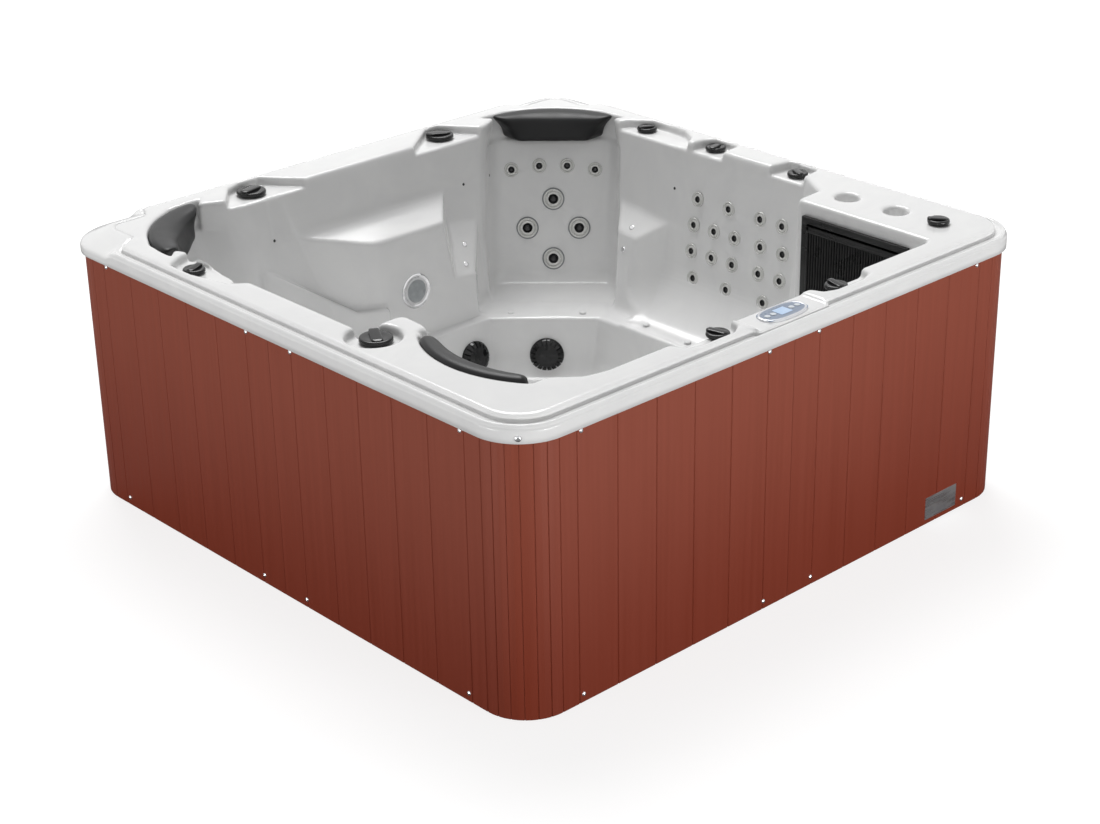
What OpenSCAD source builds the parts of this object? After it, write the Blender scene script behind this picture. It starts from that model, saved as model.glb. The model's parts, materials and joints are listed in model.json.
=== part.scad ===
// Square hot tub: moulded acrylic shell with seats for five, timber-look cabinet,
// frame, jets, valves, filter, pump, heater, blower and controls.
// +Z is up, the origin lies in the middle of the base, and -Y is the panel side.

/* [Overall] */
// Width and depth of the rim
tub_w = 2124; // [2100:4:2200]
// Height of the deck above the ground
deck_z = 894; // [880:2:910]
// Radius of the rim's corners in plan
rim_r = 157; // [140:1:180]
// Thickness of the shell
wall = 8; // [6:1:10]

/* [Rim] */
// Height of the rim's outer face
lip_h = 35; // [28:1:40]
// How far the rim's lower edge lies below the deck
lip_drop = 64; // [60:1:70]
// How far the rim overhangs the cabinet
overhang = 12; // [10:1:16]
// Radius of the bead that runs round the rim
bead_r = 8; // [6:1:8]
// Distance from the rim's outer face to the deck's crest
crest_in = 44; // [42:1:50]
// Width of the sloping rim at the two low corners
low_w = 110; // [90:5:130]

/* [Basin] */
// Distance from the rim to the wall at the panel side
front_deck = 133; // [125:1:145]
// Distance from the rim to the wall opposite the panel
back_deck = 176; // [170:1:185]
// Distance from the rim to the walls at the left and right
side_deck = 142; // [135:1:150]
// Lean of the walls, in degrees
wall_lean = 9.4; // [7:0.2:11]
// Lean of the corner seats' backs, in degrees
seat_lean = 18; // [15:0.5:20]
// Distance from the centre to the top of the corner seats' backs, along the diagonal
corner_reach = 1190; // [1170:1:1200]
// Height of the seats
seat_z = 285; // [270:1:300]
// Height of the lounger's seat
lounger_z = 255; // [245:1:270]
// Height of the ridge between the lounger and the footwell
ridge_z = 430; // [410:5:450]
// Height of the footwell's floor
floor_z = 70; // [66:1:90]
// Rounding of the basin's upright corners
corner_r = 40; // [30:1:50]

/* [Ledges and armrest] */
// Height of the back ledge at its front edge
ledge_z = 660; // [640:5:670]
// Rise of the ledge from its front edge to the wall
ledge_rise = 54; // [40:1:60]
// Height of the armrest at the wall
armrest_z = 620; // [590:5:640]

/* [Deck pads] */
// Depth of the knob pads below the deck
pad_depth = 30; // [26:1:34]
// Depth of the panel platform below the deck
platform_depth = 9; // [7:1:11]
// Radius of the cup recesses
cup_r = 38; // [34:1:42]
// Depth of the cup recesses
cup_depth = 45; // [35:1:50]

/* [Knobs] */
// Radius of a diverter knob
diverter_r = 48; // [42:1:50]
// Radius of an air knob
air_r = 34; // [30:1:36]
// Height of a knob's disc
knob_h = 18; // [15:1:20]
// Height of the raised handle above the disc
lever_h = 12; // [9:1:14]

/* [Jets] */
// Radius of a large jet's ring
large_jet_r = 36; // [34:1:38]
// Radius of a small jet's ring
small_jet_r = 26; // [23:1:27]
// Distance between the rows of jets in the side wall
row_pitch = 90; // [80:1:92]
// Distance between neighbouring jets in a row
jet_pitch = 95; // [75:1:98]

/* [Pillows] */
// Height of the pillows
pillow_h = 92; // [85:1:94]
// Outer radius of the corner pillows in plan
pillow_r = 272; // [264:1:280]
// Depth of the corner pillows at their foot
pillow_depth = 100; // [85:1:105]
// Outer radius of the lounger's pillow in plan
lounger_pillow_r = 382; // [378:1:390]
// Depth of the lounger's pillow at its foot
lounger_pillow_depth = 80; // [70:1:90]

/* [Filter] */
// Distance from the centre to the grille
grille_x = 735; // [730:1:740]
// Height of the grille
grille_h = 285; // [260:5:290]
// Width of the grille
grille_w = 425; // [400:5:430]
// Thickness of the grille
grille_t = 14; // [12:1:16]
// Radius of the filter cartridge
cartridge_r = 60; // [54:1:62]
// Height of the filter cartridge
cartridge_h = 290; // [260:5:296]

/* [Control panel] */
// Length of the panel
panel_w = 180; // [170:2:200]
// Depth of the panel
panel_d = 90; // [84:1:94]
// Radius of a panel button
button_r = 9; // [7:0.5:10]
// Travel of a panel button
button_travel = 1.2; // [0.8:0.1:1.4]

/* [Cabinet and frame] */
// Thickness of the cabinet's panels
skirt_t = 12; // [10:1:14]
// Height of the cabinet's panels
skirt_h = 838; // [833:1:842]
// Gap between neighbouring panels
panel_gap = 1; // [0.5:0.5:2]
// Distance between the grooves in the panels
plank_pitch = 147; // [140:1:160]
// Distance from the middle of a side to its first groove
first_groove = 108; // [100:1:120]
// Width of the frame's timbers
timber = 40; // [36:1:42]
// Width of a post
post_w = 60; // [50:1:70]
// Thickness of the base tray
pan_t = 10; // [8:1:12]
// Distance from the middle of a side to the inner screws
inner_screw = 104; // [90:1:115]
// Distance from the middle of a side to the outer screws
outer_screw = 828; // [800:1:840]
// Radius of a screw's head
screw_head_r = 7; // [6:0.5:8]
// Radius of a screw's shank
screw_r = 2.5; // [2:0.1:3]

/* [Equipment] */
// Radius of the pump's volute
volute_r = 78; // [72:1:80]
// Radius of the pump's motor
motor_r = 70; // [64:1:72]
// Length of the pump's motor
motor_l = 230; // [210:5:240]
// Radius of the pipes
pipe_r = 25; // [22:1:27]
// Radius of the suction covers
suction_r = 60; // [54:1:64]
// Radius of the lamp's ring
lamp_r = 61; // [56:1:64]

/* [Hidden] */
$fn = 48;
gap = 0.3;
half = tub_w / 2;
front = half - front_deck;
back = half - back_deck;
side = half - side_deck;
skirt = half - overhang;
skirt_in = skirt - skirt_t;
lip_z = deck_z - lip_drop;
flat_z = lip_z + lip_h;
pad_z = deck_z - pad_depth;
platform_z = deck_z - platform_depth;
shoulder_z = deck_z - 44;
ledge_back_z = ledge_z + ledge_rise;
underside = floor_z - wall;
armrest_foot_z = seat_z - 4;
arc_steps = 4;
low_run = 100;
seat_half = 194;
deck_half = 150;
seat_turn = 50;
headrest_z = deck_z - pillow_h - 12;
plug_r = 5;
spread = (tub_w - 2124) / 2;
corner_top = corner_reach + spread * sqrt(2);
grille_at = grille_x + spread;
grille_y = 64 - front;
grille_top = shoulder_z - 2;
grille_foot = grille_top - grille_h;
mouth_in = 22;
bay_top = deck_z - 79;
bay_floor = bay_top - cartridge_h - 65;
bay_front = grille_y;
bay_w = 400;

// A distance from the middle of the usual tub, which keeps its distance to the rim on others
function out(v) = v + sign(v) * spread;

// Corners of the rim that are low, in turn from the panel side's left end
LOW_CORNER = [false, false, true, true];

// Seats of the knobs: place on the deck, with the pad's height
KNOB_A = [out(-412), back + 58, pad_z];
KNOB_B = [out(404), back + 67, pad_z];
KNOB_C = [18 - side, out(-308), pad_z];
KNOB_D = [-side - 33, out(491), pad_z];
KNOB_E = [side + 46, out(492), pad_z];
KNOB_F = [side + 56, out(172), pad_z];
KNOB_G = [side + 46, out(-208), pad_z];
KNOB_H = [half - 196, 194 - half, deck_z];
KNOB_I = [-210, -front - 22, pad_z];
KNOB_J = [293, -front - 19, pad_z];
DIVERTERS = [KNOB_A, KNOB_B, KNOB_C];
AIR_CONTROLS = [KNOB_D, KNOB_E, KNOB_F, KNOB_G, KNOB_H, KNOB_I, KNOB_J];

// Pads and pockets for the knobs, as outlines on the deck, each open to the basin
PADS = [
    [[out(-560), back - 20], [out(-241), back - 20], [out(-241), back], [out(-294), back + 60],
        [out(-340), back + 124], [out(-420), back + 122], [out(-478), back + 99], [out(-555), back]],
    [[out(229), back - 20], [out(527), back - 20], [out(527), back], [out(438), back + 126],
        [out(393), back + 132], [out(229), back]],
    [[side + 47, out(277)], [side + 86, out(341)], [side + 97, out(425)], [side + 94, out(497)],
        [side + 34, out(564)], [side - 20, out(592)], [side - 20, out(250)], [side, out(250)]],
    [[side, out(86)], [side + 88, out(96)], [side + 99, out(135)], [side + 96, out(200)],
        [side + 54, out(222)], [side, out(230)], [side - 20, out(230)], [side - 20, out(86)]],
    [[side, out(-275)], [side + 84, out(-262)], [side + 100, out(-225)], [side + 100, out(-177)],
        [side + 83, out(-142)], [side, out(-127)], [side - 20, out(-127)], [side - 20, out(-275)]],
    [[20 - side, out(250)], [20 - side, out(592)], [-side - 34, out(572)], [-side - 86, out(540)],
        [-side - 86, out(430)], [-side - 50, out(290)], [-side, out(250)]],
    [[-397, 20 - front], [-397, -front], [-370, -front - 60], [-320, -front - 72],
        [-200, -front - 72], [-160, -front - 50], [-140, -front], [-140, 20 - front]],
    [[180, 20 - front], [180, -front], [200, -front - 50], [240, -front - 66],
        [350, -front - 66], [400, -front - 50], [420, -front], [420, 20 - front]]
];
PAD_R = 16;
ROUND_PAD = [-side, out(-320)];
round_pad_r = 80;

// Panel platform, cup recesses and panel
PLATFORM = [[-135, 18 - front], [-135, 24 - half], [148, 24 - half], [148, 18 - front]];
CUPS = [[half - 202, out(-510)], [half - 192, out(-700)]];
panel_y = 69 - half;
panel_x = 8;
BUTTON_X = [-62, -38, 38, 62];
SCREW_X = [-out(outer_screw), -inner_screw, inner_screw, out(outer_screw)];

// Places of the fittings
lean_tan = tan(wall_lean);
seat_tan = tan(seat_lean);
back_small_z = deck_z - 189;
// Height in a corner seat's back, as a share of the way from the seat to the upper row
function back_level(share) = seat_z + (back_small_z - seat_z) * share;
LARGE_JETS = [[0, back_level(0.733)], [-93, back_level(0.498)], [93, back_level(0.498)],
    [0, back_level(0.25)]];
BACK_SMALL = [-150, -47, 47, 150];
LEFT_LEVELS = [back_level(0.498), back_level(0.726)];
top_row_z = deck_z - 184;
low_row_z = top_row_z - 3 * row_pitch;
side_fillet = low_row_z - small_jet_r - 4 - seat_z;
LIGHT_AT = [73, 453];
SUCTION_X = out(274);
SUCTION_Z = [161, 151];
DRAIN_AT = [120, 180];
// Distance from a corner seat's back at seat height, and place across the seat
SEAT_INJECTORS = [[225, -143], [55, -144], [225, 110], [55, 103]];
SIDE_INJECTORS = [[out(690), 220], [out(680), 13]];
LOUNGER_INJECTORS = [[-250, out(-520)], [-250, out(-700)], [50, out(-520)], [50, out(-700)]];

// Shapes in plan
function unit(v) = v / norm(v);
function turn_right(v) = [v.y, -v.x];
function edge_normal(p, i) = turn_right(unit(p[(i + 1) % len(p)] - p[i]));
function grown(p, d) = [for (i = [0:len(p) - 1])
    let (a = edge_normal(p, (i + len(p) - 1) % len(p)), b = edge_normal(p, i))
    p[i] + (a + b) * d / (1 + a * b)];
function arc_at(c, r, from, sweep, n) = [for (k = [0:n])
    c + r * [cos(from + sweep * k / n), sin(from + sweep * k / n)]];
function short_sweep(d) = d > 180 ? d - 360 : (d < -180 ? d + 360 : d);
function corner(a, b, c, r, n) =
    let (u = unit(a - b), w = unit(c - b), bend = acos(u * w) / 2)
    let (run = min(r / tan(bend), 0.45 * norm(a - b), 0.45 * norm(c - b)), rr = run * tan(bend))
    let (mid = b + unit(u + w) * rr / sin(bend), s = b + u * run - mid, e = b + w * run - mid)
    let (from = atan2(s.y, s.x))
    arc_at(mid, rr, from, short_sweep(atan2(e.y, e.x) - from), n);
function rounded(p, r, n = arc_steps) = [for (i = [0:len(p) - 1])
    each corner(p[(i + len(p) - 1) % len(p)], p[i], p[(i + 1) % len(p)], r, n)];
function square_ring(h, r) = rounded([[h, h], [-h, h], [-h, -h], [h, -h]], r, 12);

// A closed skin through rings that lie one above the other
module skin(rings, heights) {
    n = len(rings[0]);
    top = n * (len(rings) - 1);
    points = [for (k = [0:len(rings) - 1]) for (p = rings[k]) [p.x, p.y, heights[k]]];
    walls = [for (k = [0:len(rings) - 2]) for (i = [0:n - 1])
        let (a = k * n + i, b = k * n + (i + 1) % n) each [[a, a + n, b + n], [a, b + n, b]]];
    polyhedron(points, concat([[for (i = [0:n - 1]) i], [for (i = [n - 1:-1:0]) top + i]], walls));
}

// Walls of the basin at height z
function lean(edge, z) = edge - lean_tan * (deck_z - z);
function corner_sum(z) = sqrt(2) * (corner_top - seat_tan * (deck_z - z));
function shoulder(z) = grille_at + 65 * max(0, z - shoulder_z) / (deck_z - shoulder_z);

// The corner seats in plan at height z; their backs narrow behind the headrests
function back_half(z) = seat_half - (seat_half - deck_half) * max(0, z - headrest_z) / (deck_z - headrest_z);
function near_end(z) = (corner_sum(z) / sqrt(2) - back_half(z)) / sqrt(2);
function far_end(z) = (corner_sum(z) / sqrt(2) + back_half(z)) / sqrt(2);
function back_seat_at(z) =
    let (e = near_end(z), f = far_end(z))
    [[out(560), out(330)], [out(760), out(330)], [lean(side - 24, z), lean(out(585), z)],
        [f, e - seat_turn], [f, e], [e, f], [e - seat_turn, f], [lean(out(527), z), lean(back - 6, z)],
        [out(250), out(700)], [out(300), out(500)]];
function left_seat_at(z) =
    let (e = near_end(z), f = far_end(z), edge = lean(back - 6, z))
    [[-60, out(300)], [-60, out(712)], [-85 - (edge - out(727)) * 1.82, edge],
        [-lean(out(527), z), edge], [seat_turn - e, f], [-e, f], [-f, e], [-f, e - seat_turn],
        [-lean(side - 24, z), lean(out(585), z)], [-lean(side - 10, z), out(330)],
        [out(-650), 110], [out(-450), 0]];
function side_seat_at(z) =
    let (x = lean(side, z))
    [[x, out(-285)], [x, out(460)], [out(570), out(460)], [out(570), out(-415)],
        [x - 70, out(-400)]];
function lounger_head(z) = 157 - half + 0.68 * (deck_z - z);
function lounger_foot_at(z, x) =
    let (y = lean(front, z), h = lounger_head(z))
    [[x, out(-385)], [h, out(-385)], [h, -y], [x, -y]];
function lounger_at(z) =
    let (y = lean(front, z), h = lounger_head(z), x = shoulder(z))
    [[x, out(-290)], [h + 300, out(-290)], [h + 150, out(-350)], [h + 20, out(-420)],
        [h, out(-560)], [h, out(-720)], [h + 40, out(-845)], [h + 190, -y], [x, -y]];
function filter_front_at(z) =
    let (y = lean(front, z) + 0.6, x = shoulder(z) + 0.6)
    [[x, out(-425)], [x - 80, out(-425)], [x - 80, -y], [x, -y]];
function well_at(z) =
    let (y = z < seat_z ? out(670) : out(700) + 27 * (z - seat_z) / (ledge_z - seat_z))
    [[out(560), out(-300)], [out(630), out(-230)], [out(630), out(398)], [out(359), y], [-110, y],
        [out(-340), out(600)], [out(-620), out(330)], [out(-640), 100], [out(-640), out(-200)],
        [out(-560), out(-300)]];
function back_ledge_at(z, l, r, y) = [[r, out(600)], [r, y], [l, y], [l, out(600)]];
function left_ledge_at(z, x, f, b) = [[out(-560), f], [out(-560), b], [x, b], [x, f]];
function armrest_at(x, f, b, nose) = [[x, f], [x, b], nose];

// One hollow of the basin: rings of a plan function, grown outwards by g
module hollow(rings, heights, g, r = corner_r, lid = 20) {
    last = len(rings) - 1;
    level = [for (k = [0:last]) heights[k] - (k == 0 ? g : 0) - (k == last && g > 0 ? 2 : 0)];
    shape = [for (p = rings) rounded(grown(p, g), r)];
    if (g > 0) skin(shape, level);
    if (g == 0) skin(concat(shape, [shape[last]]), concat(level, [heights[last] + lid]));
}

module well(g) {
    deep = floor_z + 20;
    hollow([grown(well_at(floor_z), lean(0, deck_z - seat_z + floor_z) - 18),
            grown(well_at(deep), lean(0, deck_z - seat_z + deep)),
            well_at(seat_z - 1), well_at(seat_z + 36), well_at(ledge_z), well_at(deck_z)],
        [floor_z, deep, seat_z - 1, seat_z + 36, ledge_z, deck_z], g);
}

module back_seat(g) {
    hollow([grown(back_seat_at(seat_z), -34), grown(back_seat_at(seat_z + 30), -8),
            back_seat_at(seat_z + 64), back_seat_at(headrest_z), back_seat_at(deck_z)],
        [seat_z, seat_z + 30, seat_z + 64, headrest_z, deck_z], g);
}

module left_seat(g) {
    hollow([grown(left_seat_at(seat_z), -34), grown(left_seat_at(seat_z + 30), -8),
            left_seat_at(seat_z + 64), left_seat_at(headrest_z), left_seat_at(deck_z)],
        [seat_z, seat_z + 30, seat_z + 64, headrest_z, deck_z], g);
}

module side_seat(g) {
    curve_z = seat_z + side_fillet * 0.4;
    wall_z = seat_z + side_fillet;
    hollow([grown(side_seat_at(seat_z + 5), -50), grown(side_seat_at(curve_z), -8),
            side_seat_at(wall_z), side_seat_at(deck_z)],
        [seat_z + 5, curve_z, wall_z, deck_z], g);
}

module lounger(g) {
    hollow([grown(lounger_foot_at(lounger_z, out(600)), -24), lounger_foot_at(lounger_z + 45, out(640)),
            lounger_foot_at(ridge_z + 6, out(705))],
        [lounger_z, lounger_z + 45, ridge_z + 4], g, corner_r, 2);
    hollow([lounger_at(ridge_z), lounger_at(shoulder_z), lounger_at(deck_z)],
        [ridge_z, shoulder_z, deck_z], g);
    hollow([filter_front_at(grille_foot - 30), filter_front_at(shoulder_z), filter_front_at(deck_z)],
        [grille_foot - 30, shoulder_z, deck_z], g, 8);
}

module ledges(g) {
    edge = 0.6;
    hollow([back_ledge_at(ledge_z, -85, out(240), out(727)), back_ledge_at(ledge_back_z, out(-316),
            out(322), lean(back, ledge_back_z)), back_ledge_at(deck_z, out(-385), out(440), back - edge)],
        [ledge_z, ledge_back_z, deck_z], g);
    hollow([left_ledge_at(ledge_z, out(-650), out(-250), 100), left_ledge_at(ledge_back_z,
            -lean(side, ledge_back_z), out(-258), out(250)),
            left_ledge_at(deck_z, edge - side, out(-262), out(345))],
        [ledge_z - 60, ledge_back_z - 60, deck_z], g);
}

module armrest(g) {
    low = armrest_at(side + 60, out(200), out(620), [out(640), out(300)]);
    high = armrest_at(side + 60, out(285), out(570), [out(850), out(500)]);
    skin([rounded(grown(low, g), 30), rounded(grown(high, g), 18)],
        [armrest_foot_z - 40, armrest_z + g]);
}

module pillow_recess(g) {
    foot = deck_z - pillow_h - 3 - g;
    for (a = [45, 135]) rotate(a) intersection() {
        translate([corner_top - pillow_in, 0, foot]) cylinder(r = pillow_r + g, h = 120 - pillow_h + 80);
        translate([corner_top - 85, -400, foot - 1]) cube([400, 800, deck_z - foot + 1 - (g > 0 ? 2 : -9)]);
    }
    intersection() {
        translate([lounger_pillow_r + 157 - half, out(-630), foot])
            cylinder(r = lounger_pillow_r + g, h = 200);
        translate([150 - half - g, out(-844) - g, foot - 1])
            cube([150 + g, 432 + 2 * g, deck_z - foot + 1 - (g > 0 ? 2 : -9)]);
    }
}

module pad_pockets(g) {
    for (p = PADS) translate([0, 0, pad_z - g])
        linear_extrude(pad_depth + g + (g > 0 ? -2 : 10)) polygon(rounded(grown(p, g), PAD_R + g));
    translate([ROUND_PAD.x, ROUND_PAD.y, pad_z - g])
        cylinder(r = round_pad_r + g, h = pad_depth + g + (g > 0 ? -2 : 10));
}

// Deep hollow behind the grille, which holds the filter
module filter_bay(g) {
    from = grille_at + wall;
    translate([from - g, bay_front - g, bay_floor - g])
        cube([side + 35 + 2 * g - from, bay_w + 2 * g, bay_top - bay_floor + 2 * g]);
    if (g == 0) translate([grille_at - 25, grille_y + mouth_in, grille_foot + mouth_in])
        cube([wall + 26, grille_w - 2 * mouth_in, bay_top - grille_foot - mouth_in]);
}

module basin(g) {
    difference() {
        union() {
            well(g);
            back_seat(g);
            left_seat(g);
            side_seat(g);
            lounger(g);
            ledges(g);
        }
        armrest(-g);
    }
    pillow_recess(g);
    pad_pockets(g);
    filter_bay(g);
}

// The rim's section: distance in from its outer face, and height
RIM_SECTION = concat(
    [[0, lip_z], [0, flat_z - 2], [1, flat_z], [4, flat_z + 3]],
    arc_at([12, deck_z - 14 - bead_r], bead_r, 165, -145, 6),
    [[21, deck_z - 20.5], [33, deck_z - 19.5], [37, deck_z - 12], [crest_in - 3, deck_z - 2],
        [crest_in, deck_z], [crest_in + 16, deck_z], [crest_in + 16, deck_z - wall],
        [crest_in + 5, deck_z - wall], [crest_in - 2, flat_z - 1], [wall, flat_z - 1],
        [wall, lip_z]]);
LOW_SECTION = [[0, lip_z], [0, flat_z - 14], [3, flat_z - 8], [14, flat_z - 2], [55, deck_z - 14],
    [low_w - 30, deck_z - 4], [low_w, deck_z], [rim_r, deck_z], [rim_r, deck_z - wall],
    [low_w, deck_z - wall], [low_w - 30, deck_z - 4 - wall], [55, deck_z - 14 - wall],
    [16, flat_z - 3 - wall], [wall, flat_z - 14 - wall], [wall, lip_z]];

module along_rim(section, from, to) {
    translate([from, 0, 0]) rotate([90, 0, 90]) linear_extrude(to - from)
        polygon([for (p = section) [p[0] - half, p[1]]]);
}

module round_corner(section) {
    translate([rim_r - half, rim_r - half, 0]) rotate(180) rotate_extrude(angle = 90)
        polygon([for (p = section) [rim_r - p[0], p[1]]]);
}

module low_corner_cut() {
    e = half - rim_r;
    translate([-half - 1, -half - 1, deck_z - wall - 1]) cube([rim_r + 1, rim_r + 1, wall + 2]);
    translate([-e - 1, -half - 1, deck_z - wall - 1]) cube([low_run + 1, low_w + 1, wall + 2]);
    translate([-half - 1, -e - 1, deck_z - wall - 1]) cube([low_w + 1, low_run + 1, wall + 2]);
}

module low_corner() {
    e = half - rim_r;
    short = [for (p = LOW_SECTION) [min(p[0], low_w), p[1]]];
    level = [for (i = [0:len(short) - 1]) if (i != 7 && i != 8) short[i]];
    round_corner(LOW_SECTION);
    along_rim(level, -e, low_run - e);
    rotate(-90) mirror([1, 0, 0]) along_rim(level, -e, low_run - e);
}

module rim_and_deck() {
    e = half - rim_r;
    difference() {
        translate([0, 0, deck_z - wall]) linear_extrude(wall)
            polygon(square_ring(half - crest_in - 10, rim_r - crest_in - 10));
        for (i = [0:3]) if (LOW_CORNER[i]) rotate(90 * i) low_corner_cut();
    }
    for (i = [0:3]) rotate(90 * i) {
        along_rim(RIM_SECTION, -e + (LOW_CORNER[i] ? low_run : 0),
            e - (LOW_CORNER[(i + 1) % 4] ? low_run : 0));
        if (!LOW_CORNER[i]) round_corner(RIM_SECTION);
        if (LOW_CORNER[i]) low_corner();
    }
}

// Places on the walls, with the local Z axis square to the wall and out of it
module facing(p, heading, tilt) {
    translate(p) rotate([0, 90 - tilt, heading]) children();
}

module on_back_seat(across, z) {
    reach = corner_sum(z) / sqrt(2);
    facing([(reach + across) / sqrt(2), (reach - across) / sqrt(2), z], 225, seat_lean) children();
}

module on_left_seat(across, z) {
    mirror([1, 0, 0]) on_back_seat(across, z) children();
}

module on_side_wall(y, z) {
    facing([lean(side, z), y, z], 180, wall_lean) children();
}

module each_large_jet() {
    for (j = LARGE_JETS) on_back_seat(j[0], j[1]) children();
}

module each_small_jet() {
    for (a = BACK_SMALL) on_back_seat(a, back_small_z) children();
    for (a = BACK_SMALL) on_left_seat(a, back_small_z) children();
    for (a = [-93, 93]) for (z = LEFT_LEVELS) on_left_seat(a, z) children();
    for (k = [0:3]) on_side_wall(170 - 128 * k, top_row_z) children();
    for (r = [1, 2]) for (k = [0:4]) on_side_wall(178 - jet_pitch * k - 4 * r, top_row_z - row_pitch * r)
        children();
    for (k = [0:2]) on_side_wall(147 - 155 * k, low_row_z) children();
}

module on_light() {
    z = LIGHT_AT[1];
    rise = ledge_z - seat_z;
    facing([LIGHT_AT[0], well_at(z)[4].y, z], 270, atan(27 / rise)) children();
}

module on_suction(k) {
    z = SUCTION_Z[k];
    drop = lean_tan * (seat_z - z);
    reach = (out(630) + out(398)) / sqrt(2) - drop;
    if (k == 0) facing([SUCTION_X, out(670) - drop, z], 270, wall_lean) children();
    if (k == 1) facing([(reach - 16) / sqrt(2), (reach + 16) / sqrt(2), z], 225, wall_lean) children();
}

module each_suction() {
    for (k = [0, 1]) on_suction(k) children();
}

// A point on a corner seat, with s = 1 at the back corner and s = -1 at the left one
function seat_point(inwards, across, s) =
    let (reach = corner_sum(seat_z) / sqrt(2) - inwards)
    [s * (reach + across) / sqrt(2), (reach - across) / sqrt(2), seat_z];

module each_injector() {
    for (p = SEAT_INJECTORS) for (s = [1, -1]) translate(seat_point(p[0], p[1], s)) children();
    for (p = SIDE_INJECTORS) translate([p.x, p.y, seat_z + 5]) children();
    for (p = LOUNGER_INJECTORS) translate([p.x, p.y, lounger_z]) children();
}

large_bore = 30;
small_bore = 17;
injector_bore = 6;
lamp_bore = 44;
suction_bore = 34;
suction_l = 50;
drain_bore = 22;
diverter_bore = 26;
air_bore = 11;

bore_depth = 60;

module bore(r) {
    translate([0, 0, -bore_depth]) cylinder(r = r, h = bore_depth + 15);
}

module acrylic_shell() {
    color("whitesmoke") difference() {
        union() {
            rim_and_deck();
            basin(wall);
            translate([0, 0, platform_z - wall]) linear_extrude(wall)
                polygon(grown(PLATFORM, wall));
            for (c = CUPS) translate([c.x, c.y, deck_z - cup_depth - wall])
                cylinder(r = cup_r + wall, h = cup_depth + wall - 2);
        }
        basin(0);
        translate([0, 0, platform_z]) linear_extrude(platform_depth + 10) polygon(PLATFORM);
        for (c = CUPS) translate([c.x, c.y, deck_z - cup_depth]) cylinder(r = cup_r, h = cup_depth + 10);
        each_large_jet() bore(large_bore);
        each_small_jet() bore(small_bore);
        on_light() bore(lamp_bore);
        each_suction() bore(suction_bore);
        each_injector() bore(injector_bore);
        for (k = DIVERTERS) translate(k) bore(diverter_bore);
        for (k = AIR_CONTROLS) translate(k) bore(air_bore);
        translate([DRAIN_AT.x, DRAIN_AT.y, floor_z]) bore(drain_bore);
        translate([panel_x, panel_y, platform_z]) panel_shape(panel_w - 30, panel_d - 30, -40, 60);
        rotate(225) translate([half * sqrt(2) - rim_r * (sqrt(2) - 1) - 20, 0, lip_z + 15])
            rotate([0, 90, 0]) cylinder(r = plug_r, h = 30);
    }
}

module rim_plug() {
    face = half * sqrt(2) - rim_r * (sqrt(2) - 1);
    color("silver") rotate(225) translate([face, 0, lip_z + 15]) rotate([0, 90, 0]) {
        translate([0, 0, -wall - 4]) cylinder(r = plug_r, h = wall + 4.2);
        translate([0, 0, 0.2]) rotate_extrude()
            polygon([[0, 0], [plug_r + 4, 0], [plug_r + 3, 2], [plug_r, 3.4], [0, 4]]);
    }
}

// Cabinet: four corner panels that meet in the middle of each side
module skirt_outline(h, r) {
    linear_extrude(skirt_h) polygon(square_ring(h, r));
}

module groove(d) {
    translate([d, -skirt, -1]) rotate(45) translate([-1.6, -1.6, 0]) cube([3.2, 3.2, skirt_h + 2]);
}

module side_screws() {
    for (x = SCREW_X)
        for (z = [24.5, lip_z - 13]) translate([x, -skirt, z]) rotate([90, 0, 0]) children();
}

module corner_panel() {
    e = skirt - (rim_r - overhang);
    difference() {
        skirt_outline(skirt, rim_r - overhang);
        translate([0, 0, -1]) linear_extrude(skirt_h + 2)
            polygon(square_ring(skirt_in, rim_r - overhang - skirt_t));
        translate([-panel_gap / 2, -half, -1]) cube([2 * half, 2 * half, skirt_h + 2]);
        translate([-half, -panel_gap / 2, -1]) cube([2 * half, half, skirt_h + 2]);
        for (k = [0:floor((e - first_groove) / plank_pitch)]) {
            groove(-first_groove - k * plank_pitch);
            rotate(-90) groove(first_groove + k * plank_pitch);
        }
        for (a = [180:15:270]) translate([-e, -e, -1]) rotate(a)
            translate([rim_r - overhang, 0, 0]) rotate(45) translate([-1.6, -1.6, 0])
                cube([3.2, 3.2, skirt_h + 2]);
        for (a = [0, -90]) rotate(a) side_screws() translate([0, 0, -skirt_t - 5])
            cylinder(r = screw_r, h = skirt_t + 10);
    }
}

module skirt_front() {
    color("sienna") corner_panel();
}

module skirt_right() {
    color("sienna") rotate(90) corner_panel();
}

module skirt_back() {
    color("sienna") rotate(180) corner_panel();
}

module skirt_left() {
    color("sienna") rotate(270) corner_panel();
}

module skirt_screws() {
    color("silver") for (i = [0:3]) rotate(90 * i) side_screws() {
        translate([0, 0, -skirt_t - 22]) cylinder(r = screw_r, h = skirt_t + 22);
        rotate_extrude() polygon([[0, 0], [screw_head_r, 0], [screw_head_r - 1, 2],
            [screw_head_r - 4, 3.6], [0, 4]]);
    }
}

module rating_plate() {
    color("silver") translate([out(643), -skirt - 1.2, 16]) cube([152, 1.2, 76]);
}

// Base tray and frame
module base_pan() {
    color("dimgray") difference() {
        linear_extrude(pan_t) polygon(square_ring(skirt_in - gap, rim_r - overhang - skirt_t));
        translate([DRAIN_AT.x, DRAIN_AT.y, -1]) cylinder(r = drain_bore + 6, h = pan_t + 2);
    }
}

module timber_ring(z, h) {
    difference() {
        translate([0, 0, z]) linear_extrude(h) polygon(square_ring(skirt_in, rim_r - overhang - skirt_t));
        translate([0, 0, z - 1]) linear_extrude(h + 2)
            polygon(square_ring(skirt_in - timber, rim_r - overhang - skirt_t - timber));
    }
}

module screw_holes() {
    for (i = [0:3]) rotate(90 * i) side_screws()
        translate([0, 0, -skirt_t - 22]) cylinder(r = screw_r, h = skirt_t + 24);
}

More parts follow.
